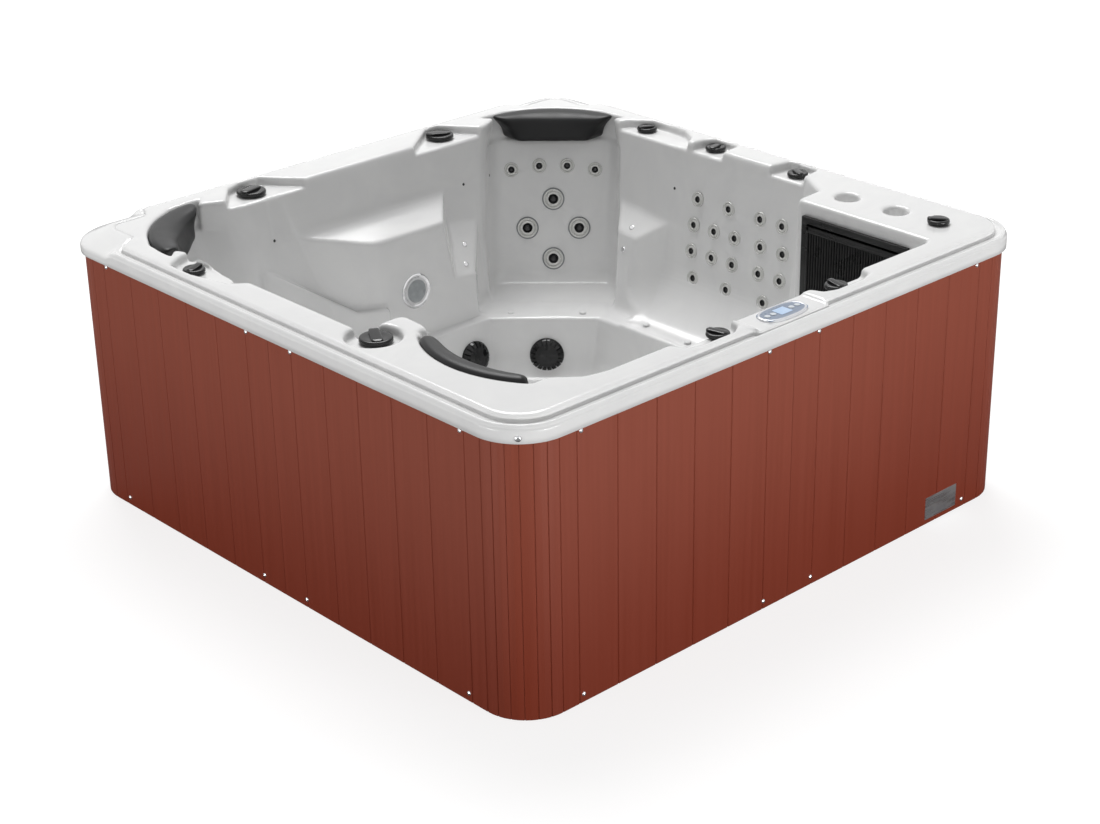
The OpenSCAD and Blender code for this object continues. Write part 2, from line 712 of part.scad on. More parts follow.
module bottom_frame() {
    color("burlywood") difference() {
        union() {
            timber_ring(pan_t, timber);
            for (x = [-420, 0, 420]) translate([x - post_w / 2, timber - skirt_in - 1, pan_t])
                cube([post_w, 2 * (skirt_in - timber) + 2, timber]);
            for (x = [-420, 0, 420]) for (y = [-200, 420])
                translate([x - post_w / 2, y - 60, pan_t + timber - 1])
                    cube([post_w, 120, underside - pan_t - timber + 1]);
        }
        screw_holes();
    }
}

top_rail_z = lip_z - 35;

module frame_posts() {
    foot = pan_t + timber;
    color("burlywood") difference() {
        for (i = [0:3]) rotate(90 * i) for (x = SCREW_X)
            translate([x - post_w / 2, -skirt_in, foot]) cube([post_w, timber, top_rail_z - foot]);
        screw_holes();
    }
}

module top_frame() {
    color("burlywood") difference() {
        union() {
            timber_ring(top_rail_z, timber);
            difference() {
                timber_ring(top_rail_z + timber - 1, flat_z - 1 - top_rail_z - timber + 1);
                linear_extrude(deck_z) polygon(square_ring(skirt_in - 9, rim_r - overhang - skirt_t - 9));
                for (i = [0:3]) if (LOW_CORNER[i]) rotate(90 * i)
                    translate([-half, -half, top_rail_z + timber]) cube(rim_r + low_run + 10);
            }
        }
        screw_holes();
    }
}

// Headrests: one section, drawn in towards both ends, swept round an upright axis
PILLOW_SECTION = [[0, 2], [0, 80], [8, 91], [30, 92], [52, 84], [74, 62], [92, 36], [99, 14], [92, 3], [70, 0]];

function pillow_ring(r, depth, h, turn, end) =
    let (w = 1 - pow(abs(turn / end), 3), d = depth * (0.3 + 0.7 * w) / 99, t = h * (0.72 + 0.28 * w) / 92)
    [for (p = PILLOW_SECTION) let (q = r - p[0] * d) [q * cos(turn), q * sin(turn), h - t * 92 + p[1] * t]];

module pillow(r, depth, h, end, steps) {
    n = len(PILLOW_SECTION);
    rings = [for (k = [0:steps]) pillow_ring(r, depth, h, end * (2 * k / steps - 1), end)];
    walls = [for (k = [0:steps - 1]) for (i = [0:n - 1])
        let (a = k * n + i, b = k * n + (i + 1) % n) each [[a, b, b + n], [a, b + n, a + n]]];
    last = steps * n;
    polyhedron([for (r = rings) each r],
        concat([[for (i = [n - 1:-1:0]) i], [for (i = [0:n - 1]) last + i]], walls));
}

pillow_foot = deck_z - pillow_h - 3 + gap;
pillow_in = 239;

module corner_pillow() {
    translate([corner_top - pillow_in, 0, pillow_foot])
        pillow(pillow_r - 0.5, pillow_depth, pillow_h, 50, 14);
}

module pillow_back() {
    color([0.2, 0.2, 0.21]) rotate(45) corner_pillow();
}

module pillow_left() {
    color([0.2, 0.2, 0.21]) rotate(135) corner_pillow();
}

module pillow_front() {
    color([0.2, 0.2, 0.21]) translate([lounger_pillow_r + 157 - half, out(-630), pillow_foot]) rotate(180)
        pillow(lounger_pillow_r - 0.5, lounger_pillow_depth, pillow_h, 33, 14);
}

// Knobs and their valves
flange_t = 3;
stem_r = 7;
diverter_depth = 95;

module knob(r) {
    foot = flange_t + 0.4;
    translate([0, 0, foot]) {
        rotate_extrude() polygon([[0, 0], [r - 2, 0], [r, 3], [r, knob_h - 6], [r - 2, knob_h - 2],
            [r - 6, knob_h], [r * 0.35, knob_h - 1.5], [0, knob_h - 1.5]]);
        translate([0, 0, knob_h - 2]) linear_extrude(lever_h)
            polygon(rounded([[-r * 0.55, -r * 0.22], [r + 2, -r * 0.12], [r + 2, r * 0.12],
                [-r * 0.55, r * 0.22]], r * 0.1));
        translate([0, 0, -30]) cylinder(r = stem_r, h = 31);
    }
}

module valve(r, flange_r, depth) {
    difference() {
        union() {
            translate([0, 0, -depth]) cylinder(r = r, h = depth + 1);
            cylinder(r = flange_r, h = flange_t);
            translate([0, 0, -wall - 6]) cylinder(r = flange_r - 2, h = 6);
        }
        translate([0, 0, -40]) cylinder(r = stem_r + 0.4, h = 50);
    }
}

module diverter_knob(k, heading) {
    color([0.12, 0.12, 0.13]) translate(k) rotate(heading) knob(diverter_r);
}

module air_knob(k, heading) {
    color([0.12, 0.12, 0.13]) translate(k) rotate(heading) knob(air_r);
}

module diverter_valves() {
    color("gray") for (k = DIVERTERS) translate(k) valve(diverter_bore, diverter_bore + 12, diverter_depth);
}

module air_valves() {
    color("gray") for (k = AIR_CONTROLS) translate(k) valve(air_bore, air_bore + 8, 60);
}

// Control panel
module panel_shape(w, d, z, h) {
    translate([0, 0, z]) linear_extrude(h) polygon(rounded([[w / 2, -d * 0.36], [w / 2, d * 0.36],
        [w * 0.3, d / 2], [-w * 0.3, d / 2], [-w / 2, d * 0.36], [-w / 2, -d * 0.36],
        [-w * 0.3, -d / 2], [w * 0.3, -d / 2]], 14, 6));
}

module at_panel() {
    translate([panel_x, panel_y, platform_z]) children();
}

module panel_bezel() {
    color("silver") at_panel() difference() {
        union() {
            panel_shape(panel_w, panel_d, 0, 5);
            panel_shape(panel_w - 30, panel_d - 30, -30, 31);
        }
        panel_shape(panel_w - 14, panel_d - 14, 3, 5);
        panel_shape(panel_w - 38, panel_d - 38, -26, 40);
    }
}

module panel_face() {
    color("slategray") at_panel() difference() {
        panel_shape(panel_w - 14, panel_d - 14, 3, 3);
        for (x = BUTTON_X) translate([x, 0, 0]) cylinder(r = button_r + gap, h = 10);
        translate([-23, -20, 4]) cube([46, 40, 10]);
    }
}

module panel_display() {
    color("lightblue") at_panel() translate([-23, -20, 4]) cube([46, 40, 2.6]);
}

module panel_button(x) {
    color("gainsboro") at_panel() translate([x, 0, 0]) {
        translate([0, 0, 2 + button_travel]) cylinder(r = button_r - 3, h = 3);
        translate([0, 0, 4]) rotate_extrude()
            polygon([[0, 0], [button_r, 0], [button_r, 3], [button_r - 1.5, 4], [0, 4.4]]);
    }
}

// Jets
module large_jet_body() {
    difference() {
        union() {
            translate([0, 0, -70]) cylinder(r = large_bore, h = 71);
            cylinder(r = large_jet_r + 4, h = 2);
            translate([0, 0, -wall - 10]) cylinder(r = large_bore + 8, h = 8);
        }
        translate([0, 0, -60]) cylinder(r = large_bore - 8, h = 80);
    }
}

module large_jet_face() {
    difference() {
        union() {
            translate([0, 0, 2.4]) rotate_extrude() polygon([[0, 0], [large_jet_r, 0],
                [large_jet_r, 2], [large_jet_r - 3, 5], [large_jet_r - 10, 4.4], [large_jet_r - 13, 2.6],
                [16, 2.6], [14, 4], [0, 4]]);
            translate([0, 0, -24]) cylinder(r = large_bore - 8.4, h = 27);
        }
        translate([3, 0, -30]) cylinder(r = 10, h = 50);
    }
}

module large_jet(i) {
    color("silver") on_back_seat(LARGE_JETS[i][0], LARGE_JETS[i][1]) large_jet_face();
}

module large_jet_bodies() {
    color("gray") each_large_jet() large_jet_body();
}

module small_jets() {
    color("silver") each_small_jet() translate([0, 0, 0]) rotate_extrude() polygon([
        [8, -20], [small_bore - 4, -20], [small_bore - 4, 0], [small_jet_r, 0], [small_jet_r, 2],
        [small_jet_r - 3, 5], [small_jet_r - 9, 3.4], [14, 3], [11, 5], [8, 4]]);
}

module small_jet_bodies() {
    color("gray") each_small_jet() difference() {
        union() {
            translate([0, 0, -50]) cylinder(r = small_bore, h = 50);
            translate([0, 0, -wall - 9]) cylinder(r = small_bore + 6, h = 7);
        }
        translate([0, 0, -44]) cylinder(r = small_bore - 4, h = 60);
    }
}

// Lamp, suctions, injectors and drain
module light_ring() {
    color("silver") on_light() difference() {
        union() {
            rotate_extrude() polygon([[lamp_bore - 8, 0], [lamp_r, 0], [lamp_r, 3], [lamp_r - 4, 7],
                [lamp_r - 10, 6], [lamp_r - 13, 4], [lamp_bore - 8, 4]]);
            translate([0, 0, -55]) cylinder(r = lamp_bore, h = 56);
        }
        translate([0, 0, -50]) cylinder(r = lamp_bore - 4, h = 70);
    }
}

module light_lens() {
    color([0.75, 0.78, 0.8]) on_light() translate([0, 0, -30]) rotate_extrude()
        polygon([[0, 0], [lamp_bore - 4, 0], [lamp_bore - 4, 34], [24, 37], [0, 38]]);
}

module suction_covers() {
    color([0.12, 0.12, 0.13]) each_suction() difference() {
        union() {
            rotate_extrude() polygon([[0, 0], [suction_r, 0], [suction_r, 5], [suction_r - 6, 14],
                [suction_r - 20, 22], [suction_r - 38, 26], [0, 27]]);
            translate([0, 0, -suction_l]) cylinder(r = suction_bore, h = suction_l + 1);
        }
        translate([0, 0, -60]) cylinder(r = suction_bore - 6, h = 72);
        for (a = [0:20:340]) rotate(a) translate([40, -2, 4]) cube([30, 4, 30]);
    }
}

module air_injectors() {
    color("gainsboro") each_injector() {
        translate([0, 0, -30]) cylinder(r = injector_bore, h = 30);
        rotate_extrude() polygon([[0, 0], [12, 0], [12, 1.5], [9, 3.5], [0, 4]]);
    }
}

module drain_fitting() {
    color("gainsboro") translate([DRAIN_AT.x, DRAIN_AT.y, floor_z]) difference() {
        union() {
            translate([0, 0, -48]) cylinder(r = drain_bore, h = 48);
            rotate_extrude() polygon([[0, 0], [38, 0], [38, 2], [33, 5], [0, 6]]);
        }
        translate([0, 0, -60]) cylinder(r = drain_bore - 5, h = 58);
        for (a = [0:45:315]) rotate(a) translate([10, -1.5, -4]) cube([18, 3, 20]);
    }
}

// Filter: grille in front of the bay, flap, canister and cartridge
SLATS = 22;

module filter_grille() {
    pitch = (grille_w - 2 * mouth_in) / SLATS;
    color([0.1, 0.1, 0.11]) {
        translate([grille_at - grille_t - gap, grille_y, grille_foot]) difference() {
            cube([grille_t, grille_w, grille_h]);
            translate([-1, mouth_in, mouth_in])
                cube([grille_t + 2, grille_w - 2 * mouth_in, grille_h - 2 * mouth_in]);
        }
        for (k = [1:SLATS - 1])
            translate([grille_at - grille_t - gap + 2, grille_y + mouth_in + k * pitch - 2.5,
                    grille_foot + mouth_in - 1])
                cube([grille_t - 4, 5, grille_h - 2 * mouth_in + 2]);
    }
}

flap_x = grille_at + 24;
flap_z = grille_foot + 77;
flap_h = 70;
flap_w = bay_w - 30;
bearing = 10;

module weir_flap() {
    color("gray") {
        translate([flap_x, bay_front + 15, flap_z]) rotate([-90, 0, 0]) cylinder(r = 5, h = flap_w);
        translate([flap_x - 3, bay_front + 16 + bearing, flap_z]) cube([6, flap_w - 2 - 2 * bearing, flap_h]);
    }
}

bay_x = side - 40;
bay_y = bay_front + bay_w / 2;
canister_r = cartridge_r + 10;
canister_z = bay_floor;

module filter_canister() {
    color("dimgray") {
        translate([bay_x, bay_y, canister_z]) difference() {
            cylinder(r = canister_r, h = cartridge_h + 16);
            translate([0, 0, 6]) cylinder(r = canister_r - 5, h = cartridge_h + 20);
            for (a = [0:30:330]) rotate(a) translate([canister_r - 12, -8, 40])
                cube([20, 16, cartridge_h - 60]);
        }
        for (y = [bay_front + 15, bay_front + 15 + flap_w - bearing])
            translate([grille_at + wall, y, flap_z - 9]) difference() {
                cube([flap_x - grille_at - wall + 9, bearing, 18]);
                translate([flap_x - grille_at - wall, -1, 9]) rotate([-90, 0, 0])
                    cylinder(r = 5.4, h = bearing + 2);
            }
    }
}

module filter_cartridge() {
    pleats = 36;
    cap = 10;
    core_r = 28;
    color("white") translate([bay_x, bay_y, canister_z + 6]) difference() {
        union() {
            translate([0, 0, cap - 1]) linear_extrude(cartridge_h - 2 * cap + 2)
                polygon([for (k = [0:2 * pleats - 1]) (cartridge_r - 2 - (k % 2) * 11)
                    * [cos(180 * k / pleats), sin(180 * k / pleats)]]);
            cylinder(r = cartridge_r, h = cap);
            translate([0, 0, cartridge_h - cap]) cylinder(r = cartridge_r, h = cap);
        }
        translate([0, 0, cap + 2]) cylinder(r = core_r, h = cartridge_h);
    }
}

// Equipment under the lounger and the seats
PUMP_AT = [-330, out(-700), 118];
bend_r = 45;
shaft_r = 8;

module pump_housing() {
    color([0.15, 0.15, 0.16]) translate(PUMP_AT) difference() {
        union() {
            translate([-45, 0, 0]) rotate([0, 90, 0]) cylinder(r = volute_r, h = 90);
            rotate([-90, 0, 0]) cylinder(r = pipe_r + 8, h = volute_r + 24);
            translate([-90, 0, 0]) rotate([0, 90, 0]) cylinder(r = pipe_r + 8, h = 50);
            translate([-40, -60, pan_t - PUMP_AT.z]) cube([80, 120, 60]);
        }
        translate([-35, 0, 0]) rotate([0, 90, 0]) cylinder(r = volute_r - 10, h = 70);
        rotate([-90, 0, 0]) cylinder(r = pipe_r, h = 120);
        translate([-100, 0, 0]) rotate([0, 90, 0]) cylinder(r = pipe_r, h = 100);
        translate([20, 0, 0]) rotate([0, 90, 0]) cylinder(r = shaft_r + 0.5, h = 40);
    }
}

module pump_motor() {
    color("steelblue") translate([PUMP_AT.x + 45, PUMP_AT.y, PUMP_AT.z]) difference() {
        union() {
            rotate([0, 90, 0]) cylinder(r = motor_r, h = motor_l);
            for (a = [0:24:336]) rotate([a, 0, 0]) translate([20, -2, motor_r - 2]) cube([motor_l - 50, 4, 8]);
            translate([40, -50, pan_t - PUMP_AT.z]) cube([motor_l - 90, 100, 60]);
            translate([60, -40, motor_r - 6]) cube([90, 80, 28]);
        }
        translate([-1, 0, 0]) rotate([0, 90, 0]) cylinder(r = shaft_r + 0.5, h = motor_l - 20);
    }
}

module pump_rotor() {
    hub_r = 16;
    wheel_r = volute_r - 22;
    end = 45 + motor_l - 26;
    color("silver") translate(PUMP_AT) {
        rotate([0, 90, 0]) rotate_extrude() polygon([[0, -24], [hub_r, -24], [hub_r, -12], [wheel_r, -12],
            [wheel_r, -4], [hub_r, -4], [hub_r, 1], [shaft_r, 1], [shaft_r, end], [0, end]]);
        for (a = [0:60:300]) rotate([a, 0, 0]) translate([-22, -2, hub_r - 2])
            cube([11, 4, wheel_r - hub_r - 2]);
    }
}

HEATER_AT = [120, PUMP_AT.y + volute_r + 24 + bend_r, PUMP_AT.z];
heater_l = 360;

module heater_tube() {
    color("silver") translate(HEATER_AT) {
        rotate([0, 90, 0]) difference() {
            union() {
                cylinder(r = pipe_r + 7, h = heater_l);
                for (z = [0, heater_l - 12]) translate([0, 0, z]) cylinder(r = pipe_r + 17, h = 12);
            }
            translate([0, 0, 12]) cylinder(r = pipe_r + 4, h = heater_l - 24);
            translate([0, 0, -1]) cylinder(r = pipe_r, h = heater_l + 2);
        }
        for (x = [60, heater_l - 120]) translate([x, -34, pan_t - HEATER_AT.z])
            cube([20, 68, HEATER_AT.z - pan_t - pipe_r - 5]);
    }
}

module air_blower() {
    color([0.2, 0.2, 0.22]) translate([560, out(-820), pan_t]) difference() {
        union() {
            cylinder(r = 90, h = 60);
            translate([0, 0, 60]) cylinder(r = 78, h = 96);
            translate([-105, -22, 8]) cube([60, 44, 44]);
        }
        translate([-106, 0, 30]) rotate([0, 90, 0]) cylinder(r = 16, h = 60);
        for (a = [0:30:330]) rotate(a) translate([70, -4, 84]) cube([20, 8, 50]);
    }
}

box_l = 300;
box_w = 180;
box_h = 150;
box_t = 4;

module control_box() {
    color("lightgray") translate([70, out(-900), pan_t]) {
        difference() {
            cube([box_l, box_w, box_h]);
            translate([box_t, box_t, box_t]) cube([box_l - 2 * box_t, box_w - 2 * box_t, box_h]);
        }
        translate([-3, -3, box_h]) cube([box_l + 6, box_w + 6, 6]);
        translate([box_t, box_w - 60, box_t]) cube([box_l - 2 * box_t, 6, box_h - 30]);
    }
}

// Pipes, drawn at radius r along the suction line and along the pressure line
main_z = PUMP_AT.z;
ring_x = half - 92;
ring_y = KNOB_B.y;
suction_x = 262 - half;
suction_y = out(760);

module run(a, b, r) {
    v = b - a;
    translate(a) rotate([0, acos(v.z / norm(v)), atan2(v.y, v.x)]) cylinder(r = r, h = norm(v));
}

module bend(c, from, r) {
    translate([c.x, c.y, main_z]) rotate(from) rotate_extrude(angle = 90) translate([bend_r, 0]) circle(r = r);
}

module riser(p, depth, r) {
    run([p.x, p.y, main_z], [p.x, p.y, p.z - depth - gap], r);
}

module suction_line(r) {
    start = [PUMP_AT.x - 70, PUMP_AT.y, main_z];
    run(start, [suction_x + bend_r, PUMP_AT.y, main_z], r);
    bend([suction_x + bend_r, PUMP_AT.y + bend_r], 180, r);
    run([suction_x, PUMP_AT.y + bend_r, main_z], [suction_x, suction_y - bend_r, main_z], r);
    bend([suction_x + bend_r, suction_y - bend_r], 90, r);
    run([suction_x + bend_r, suction_y, main_z], [out(730), suction_y, main_z], r);
    on_suction(0) translate([0, 0, -suction_l - 60]) cylinder(r = r, h = 60 - gap);
    on_suction(1) translate([0, 0, -suction_l - 290]) cylinder(r = r, h = 290 - gap);
}

module pressure_line(r) {
    y = HEATER_AT.y;
    run([PUMP_AT.x, PUMP_AT.y + volute_r + 9, main_z], [PUMP_AT.x, y - bend_r, main_z], r);
    bend([PUMP_AT.x + bend_r, y - bend_r], 90, r);
    run([PUMP_AT.x + bend_r, y, main_z], [HEATER_AT.x + 12, y, main_z], r);
    run([HEATER_AT.x + heater_l - 12, y, main_z], [ring_x - bend_r, y, main_z], r);
    bend([ring_x - bend_r, y + bend_r], 270, r);
    run([ring_x, y + bend_r, main_z], [ring_x, ring_y - bend_r, main_z], r);
    bend([ring_x - bend_r, ring_y - bend_r], 0, r);
    run([ring_x - bend_r, ring_y, main_z], [KNOB_C.x + bend_r, ring_y, main_z], r);
    bend([KNOB_C.x + bend_r, ring_y - bend_r], 90, r);
    run([KNOB_C.x, ring_y - bend_r, main_z], [KNOB_C.x, KNOB_C.y, main_z], r);
    for (k = DIVERTERS) riser(k, diverter_depth, r);
}

module pipework() {
    bore_r = pipe_r - 3;
    color("white") difference() {
        union() {
            suction_line(pipe_r);
            pressure_line(pipe_r);
        }
        suction_line(bore_r);
        pressure_line(bore_r);
    }
}

acrylic_shell();
skirt_front();
skirt_right();
skirt_back();
skirt_left();
skirt_screws();
rim_plug();
rating_plate();
base_pan();
bottom_frame();
frame_posts();
top_frame();
pillow_back();
pillow_left();
pillow_front();
diverter_knob(KNOB_A, 200);  // diverter_knob_a
diverter_knob(KNOB_B, 160);  // diverter_knob_b
diverter_knob(KNOB_C, 60);  // diverter_knob_c
air_knob(KNOB_D, 20);  // air_knob_d
air_knob(KNOB_E, 160);  // air_knob_e
air_knob(KNOB_F, 200);  // air_knob_f
air_knob(KNOB_G, 240);  // air_knob_g
air_knob(KNOB_H, 135);  // air_knob_h
air_knob(KNOB_I, 110);  // air_knob_i
air_knob(KNOB_J, 80);  // air_knob_j
diverter_valves();
air_valves();
panel_bezel();
panel_face();
panel_display();
panel_button(BUTTON_X[0]);  // panel_button_1
panel_button(BUTTON_X[1]);  // panel_button_2
panel_button(BUTTON_X[2]);  // panel_button_3
panel_button(BUTTON_X[3]);  // panel_button_4
large_jet(0);  // large_jet_1
large_jet(1);  // large_jet_2
large_jet(2);  // large_jet_3
large_jet(3);  // large_jet_4
large_jet_bodies();
small_jets();
small_jet_bodies();
light_ring();
light_lens();
suction_covers();
air_injectors();
filter_grille();
weir_flap();
filter_canister();
filter_cartridge();
drain_fitting();
pump_housing();
pump_motor();
pump_rotor();
heater_tube();
air_blower();
control_box();
pipework();
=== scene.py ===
"""Square hot tub: moulded acrylic shell, timber-look cabinet, headrests, jets and rotary knobs."""
import bpy
import json
import math
import numpy as np
from concurrent.futures import ThreadPoolExecutor
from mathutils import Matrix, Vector


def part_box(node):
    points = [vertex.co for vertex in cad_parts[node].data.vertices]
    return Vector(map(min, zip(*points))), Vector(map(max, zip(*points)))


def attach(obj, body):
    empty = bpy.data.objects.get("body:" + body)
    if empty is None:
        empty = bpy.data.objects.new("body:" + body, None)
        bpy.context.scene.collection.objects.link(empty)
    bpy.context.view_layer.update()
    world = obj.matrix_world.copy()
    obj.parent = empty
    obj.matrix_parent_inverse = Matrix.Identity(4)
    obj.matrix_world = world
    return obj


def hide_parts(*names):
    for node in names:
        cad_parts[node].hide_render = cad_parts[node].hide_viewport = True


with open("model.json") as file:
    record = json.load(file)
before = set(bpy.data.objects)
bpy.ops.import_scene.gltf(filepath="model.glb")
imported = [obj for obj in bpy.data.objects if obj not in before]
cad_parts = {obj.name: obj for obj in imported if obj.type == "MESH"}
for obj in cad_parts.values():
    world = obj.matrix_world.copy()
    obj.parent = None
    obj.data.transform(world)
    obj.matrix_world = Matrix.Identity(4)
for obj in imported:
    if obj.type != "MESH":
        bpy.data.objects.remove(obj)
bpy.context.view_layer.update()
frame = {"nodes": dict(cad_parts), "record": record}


MM = 0.001

# camera
camera = bpy.data.objects.new("camera", bpy.data.cameras.new("camera"))
bpy.context.scene.collection.objects.link(camera)
camera.data.lens = 73.935
camera.data.sensor_width = 36
camera.location = (-4.4425, -4.8687, 3.3033)
camera.rotation_euler = [math.radians(a) for a in (65.174, 0.9175, -42.9873)]
bpy.context.scene.camera = camera
bpy.context.scene.view_settings.view_transform = "Standard"

# sizes shared with the solids, in mm
HALF, BACK, SIDE, FRONT = 1062, 886, 920, 929
DECK_Z, PAD_Z, PLATFORM_Z = 894, 864, 885
SEAT_Z, FLOOR_Z, LOUNGER_Z, RIDGE_Z = 285, 70, 255, 430
LEDGE_Z, LEDGE_EDGE, LEDGE_RISE, LEDGE_DEPTH = 660, 727, 54, 130
RIM_R = 157
CORNER_REACH = 1190
WALL_TAN, SEAT_TAN = math.tan(math.radians(9.4)), math.tan(math.radians(18))
SEAT_HALF, DECK_HALF, SEAT_TURN, HEADREST_Z = 194, 150, 50, 790
FILTER_X = 735
REST_CENTRE, REST_R, REST_WIDEN = 672, 267, 22
FRONT_REST, FRONT_REST_R = (-523, -630), 384
CUPS, CUP_R, CUP_DEPTH = ((860, -510), (870, -700)), 38, 45
# width of the rim outside the deck: elsewhere, beside the panel and at the low corners
DECK_INSET, PANEL_INSET, LOW_INSET = 36, 17, 104


def lean(edge, z):
    return edge - WALL_TAN * (DECK_Z - z)


def seat_ends(z):
    reach = CORNER_REACH - SEAT_TAN * (DECK_Z - z)
    narrow = max(0, z - HEADREST_Z) / (DECK_Z - HEADREST_Z)
    half = SEAT_HALF - (SEAT_HALF - DECK_HALF) * narrow
    return (reach - half) / math.sqrt(2), (reach + half) / math.sqrt(2)


def rounded(corners, reach):
    """The outline with corner k cut to a curve that starts reach[k] before it."""
    line = []
    for k, corner in enumerate(corners):
        here = np.array(corner, float)
        d = reach.get(k, 0)
        if not d:
            line.append((float(here[0]), float(here[1])))
            continue
        ends = []
        for other in (corners[k - 1], corners[(k + 1) % len(corners)]):
            way = np.array(other, float) - here
            length = max(float(np.hypot(*way)), 1e-6)
            ends.append(here + way / length * min(d, 0.48 * length))
        for t in (0, 0.25, 0.5, 0.75, 1):
            spot = ends[0] * (1 - t) ** 2 + here * 2 * t * (1 - t) + ends[1] * t * t
            line.append((float(spot[0]), float(spot[1])))
    return line


# outlines of the basin's hollows at height z, counter-clockwise
def footwell_outline(z):
    if z < SEAT_Z:
        shrink = WALL_TAN * (SEAT_Z - z)
        y = 670 - shrink
    else:
        shrink = 0
        y = 700 + 27 * min(1, (z - SEAT_Z) / (LEDGE_Z - SEAT_Z))
    return [(560, -300 + shrink), (630 - shrink, -230), (630 - shrink, 398 - shrink * 0.4),
            (359 - shrink * 0.4, y), (-110, y), (-340 + shrink * 0.5, 600 - shrink * 0.5),
            (-620 + shrink * 0.7, 330 - shrink * 0.5), (-640 + shrink, 100), (-640 + shrink, -200),
            (-560, -300 + shrink)]


def back_seat_outline(z):
    near, far = seat_ends(z)
    edge = lean(SIDE - 10, z)
    wall = lean(BACK - 6, z)
    return rounded([(560, 300), (700, 392), (edge, 392 + (edge - 700) * 0.78), (far, near - SEAT_TURN), (far, near),
                    (near, far), (near - SEAT_TURN, far), (max(470, 545 - 0.2 * (868 - z)), wall), (455, wall),
                    (399, 770), (352, 724), (300, 500)], {2: 60, 3: 40, 4: 26, 5: 26, 6: 60, 7: 60})


def left_seat_outline(z):
    near, far = seat_ends(z)
    edge = lean(BACK - 6, z)
    return rounded([(-60, 300), (-60, 712), (-85 - (edge - LEDGE_EDGE) * 1.82, edge), (-545 + 0.2 * (868 - z), edge),
                    (SEAT_TURN - near, far), (-near, far), (-far, near), (-far, near - SEAT_TURN),
                    (-lean(SIDE - 24, z), lean(585, z)), (-lean(SIDE - 10, z), 330), (-650, 110), (-450, 0)],
                   {3: 60, 4: 60, 5: 26, 6: 26, 7: 40, 8: 80})


def side_seat_outline(z):
    x = lean(SIDE, z)
    return [(560, -415), (x - 70, -400), (x, -285), (x, 292), (x - 76, 376), (x - 190, 380), (560, 380)]


def armrest_front_outline(z):
    x = 716 + 0.29 * (z - SEAT_Z)
    return [(520, 260), (x, 300), (x, 540), (520, 460)]


def armrest_top_outline(z):
    x = lean(SIDE, z)
    return [(690, 150), (x, 150), (x, 700), (690, 560)]


def lounger_outline(z):
    y = lean(FRONT, z)
    head = HALF - 197 - 0.68 * (DECK_Z - z)
    end = 765 - 0.45 * (DECK_Z - z)
    return [(-end, -236), (-end - 8, -380), (-head + 45, -450), (-head, -560), (-head, -720), (-head + 66, -836),
            (-head + 160, 14 - y), (-head + 230, -y), (FILTER_X, -y), (FILTER_X, -236)]


def lounger_foot_outline(z):
    y = lean(FRONT, z)
    head = HALF - 197 - 0.68 * (DECK_Z - z)
    return [(-head + 50, -385), (-head + 20, -560), (-head + 20, -720), (-head + 180, 14 - y), (-head + 240, -y),
            (705, -y), (705, -385)]


def back_ledge_outline(z):
    y = lean(BACK - 6, z)
    return [(-60, 560), (520, 560), (560, LEDGE_EDGE), (600, y), (-400, y), (-160, LEDGE_EDGE), (-60, 640)]


def divider_notch_outline(z):
    """The notch right of the lamp's wall, over the divider's sloped top."""
    y = lean(BACK - 6, z)
    low = max(0, LEDGE_Z - z)
    x0, y0 = 219 + 0.146 * low, 730 - 0.085 * low
    return [(x0 - 0.9 * (y0 - 640), 640), (470, 640), (470, y), (x0 + 0.9 * (y - y0), y)]


def seat_band(x, y):
    """The back seat's pan, with the slanted band at the foot of its backrest."""
    return SEAT_Z + 26 * np.clip(((np.abs(x) + y) / math.sqrt(2) - 868) / 125, 0, 1.2)


def left_ledge_outline(z):
    return [(-560, -252), (-560, 345), (-lean(SIDE, z), 345), (-lean(SIDE, z), -262)]


PADS = {
    "a": [(-241, 866), (-241, 886), (-294, 946), (-340, 1006), (-420, 1004), (-478, 981), (-555, 886), (-560, 866)],
    "b": [(527, 866), (527, 886), (438, 1008), (393, 1014), (229, 886), (229, 866)],
    "e": [(920, 250), (967, 277), (1004, 341), (1012, 425), (1008, 497), (954, 564), (900, 592), (900, 250)],
    "f": [(920, 86), (1004, 96), (1013, 135), (1010, 196), (974, 222), (920, 230), (900, 230), (900, 86)],
    "g": [(920, -275), (1002, -262), (1014, -225), (1014, -177), (1001, -142), (920, -127), (900, -127), (900, -275)],
    "d": [(-900, 250), (-900, 592), (-954, 572), (-1004, 540), (-1004, 430), (-970, 290), (-920, 250)],
    "i": [(-397, -909), (-397, -929), (-370, -989), (-320, -1001), (-200, -1001), (-160, -979), (-140, -929),
          (-140, -909)],
    "j": [(180, -909), (180, -929), (200, -979), (240, -995), (350, -995), (400, -979), (420, -929), (420, -909)],
}
PLATFORM = [(-135, -900), (-135, -1052), (148, -1052), (148, -900)]


# signed distances, negative inside
def polygon_distance(x, y, corners):
    px = np.array([c[0] for c in corners], np.float32)
    py = np.array([c[1] for c in corners], np.float32)
    best = np.full(x.shape, 1e12, np.float32)
    inside = np.zeros(x.shape, bool)
    for i in range(len(px)):
        ax, ay, bx, by = px[i - 1], py[i - 1], px[i], py[i]
        ex, ey = bx - ax, by - ay
        wx, wy = x - ax, y - ay
        t = np.clip((wx * ex + wy * ey) / (ex * ex + ey * ey), 0, 1)
        best = np.minimum(best, (wx - ex * t) ** 2 + (wy - ey * t) ** 2)
        if ay != by:
            crosses = ((ay <= y) != (by <= y)) & (x < ax + (y - ay) * ex / ey)
            inside ^= crosses
    return np.where(inside, -1, 1) * np.sqrt(best)


def soft_min(a, b, k):
    h = np.maximum(k - np.abs(a - b), 0) / k
    return np.minimum(a, b) - h * h * k * 0.25


def soft_max(a, b, k):
    return -soft_min(-a, -b, k)


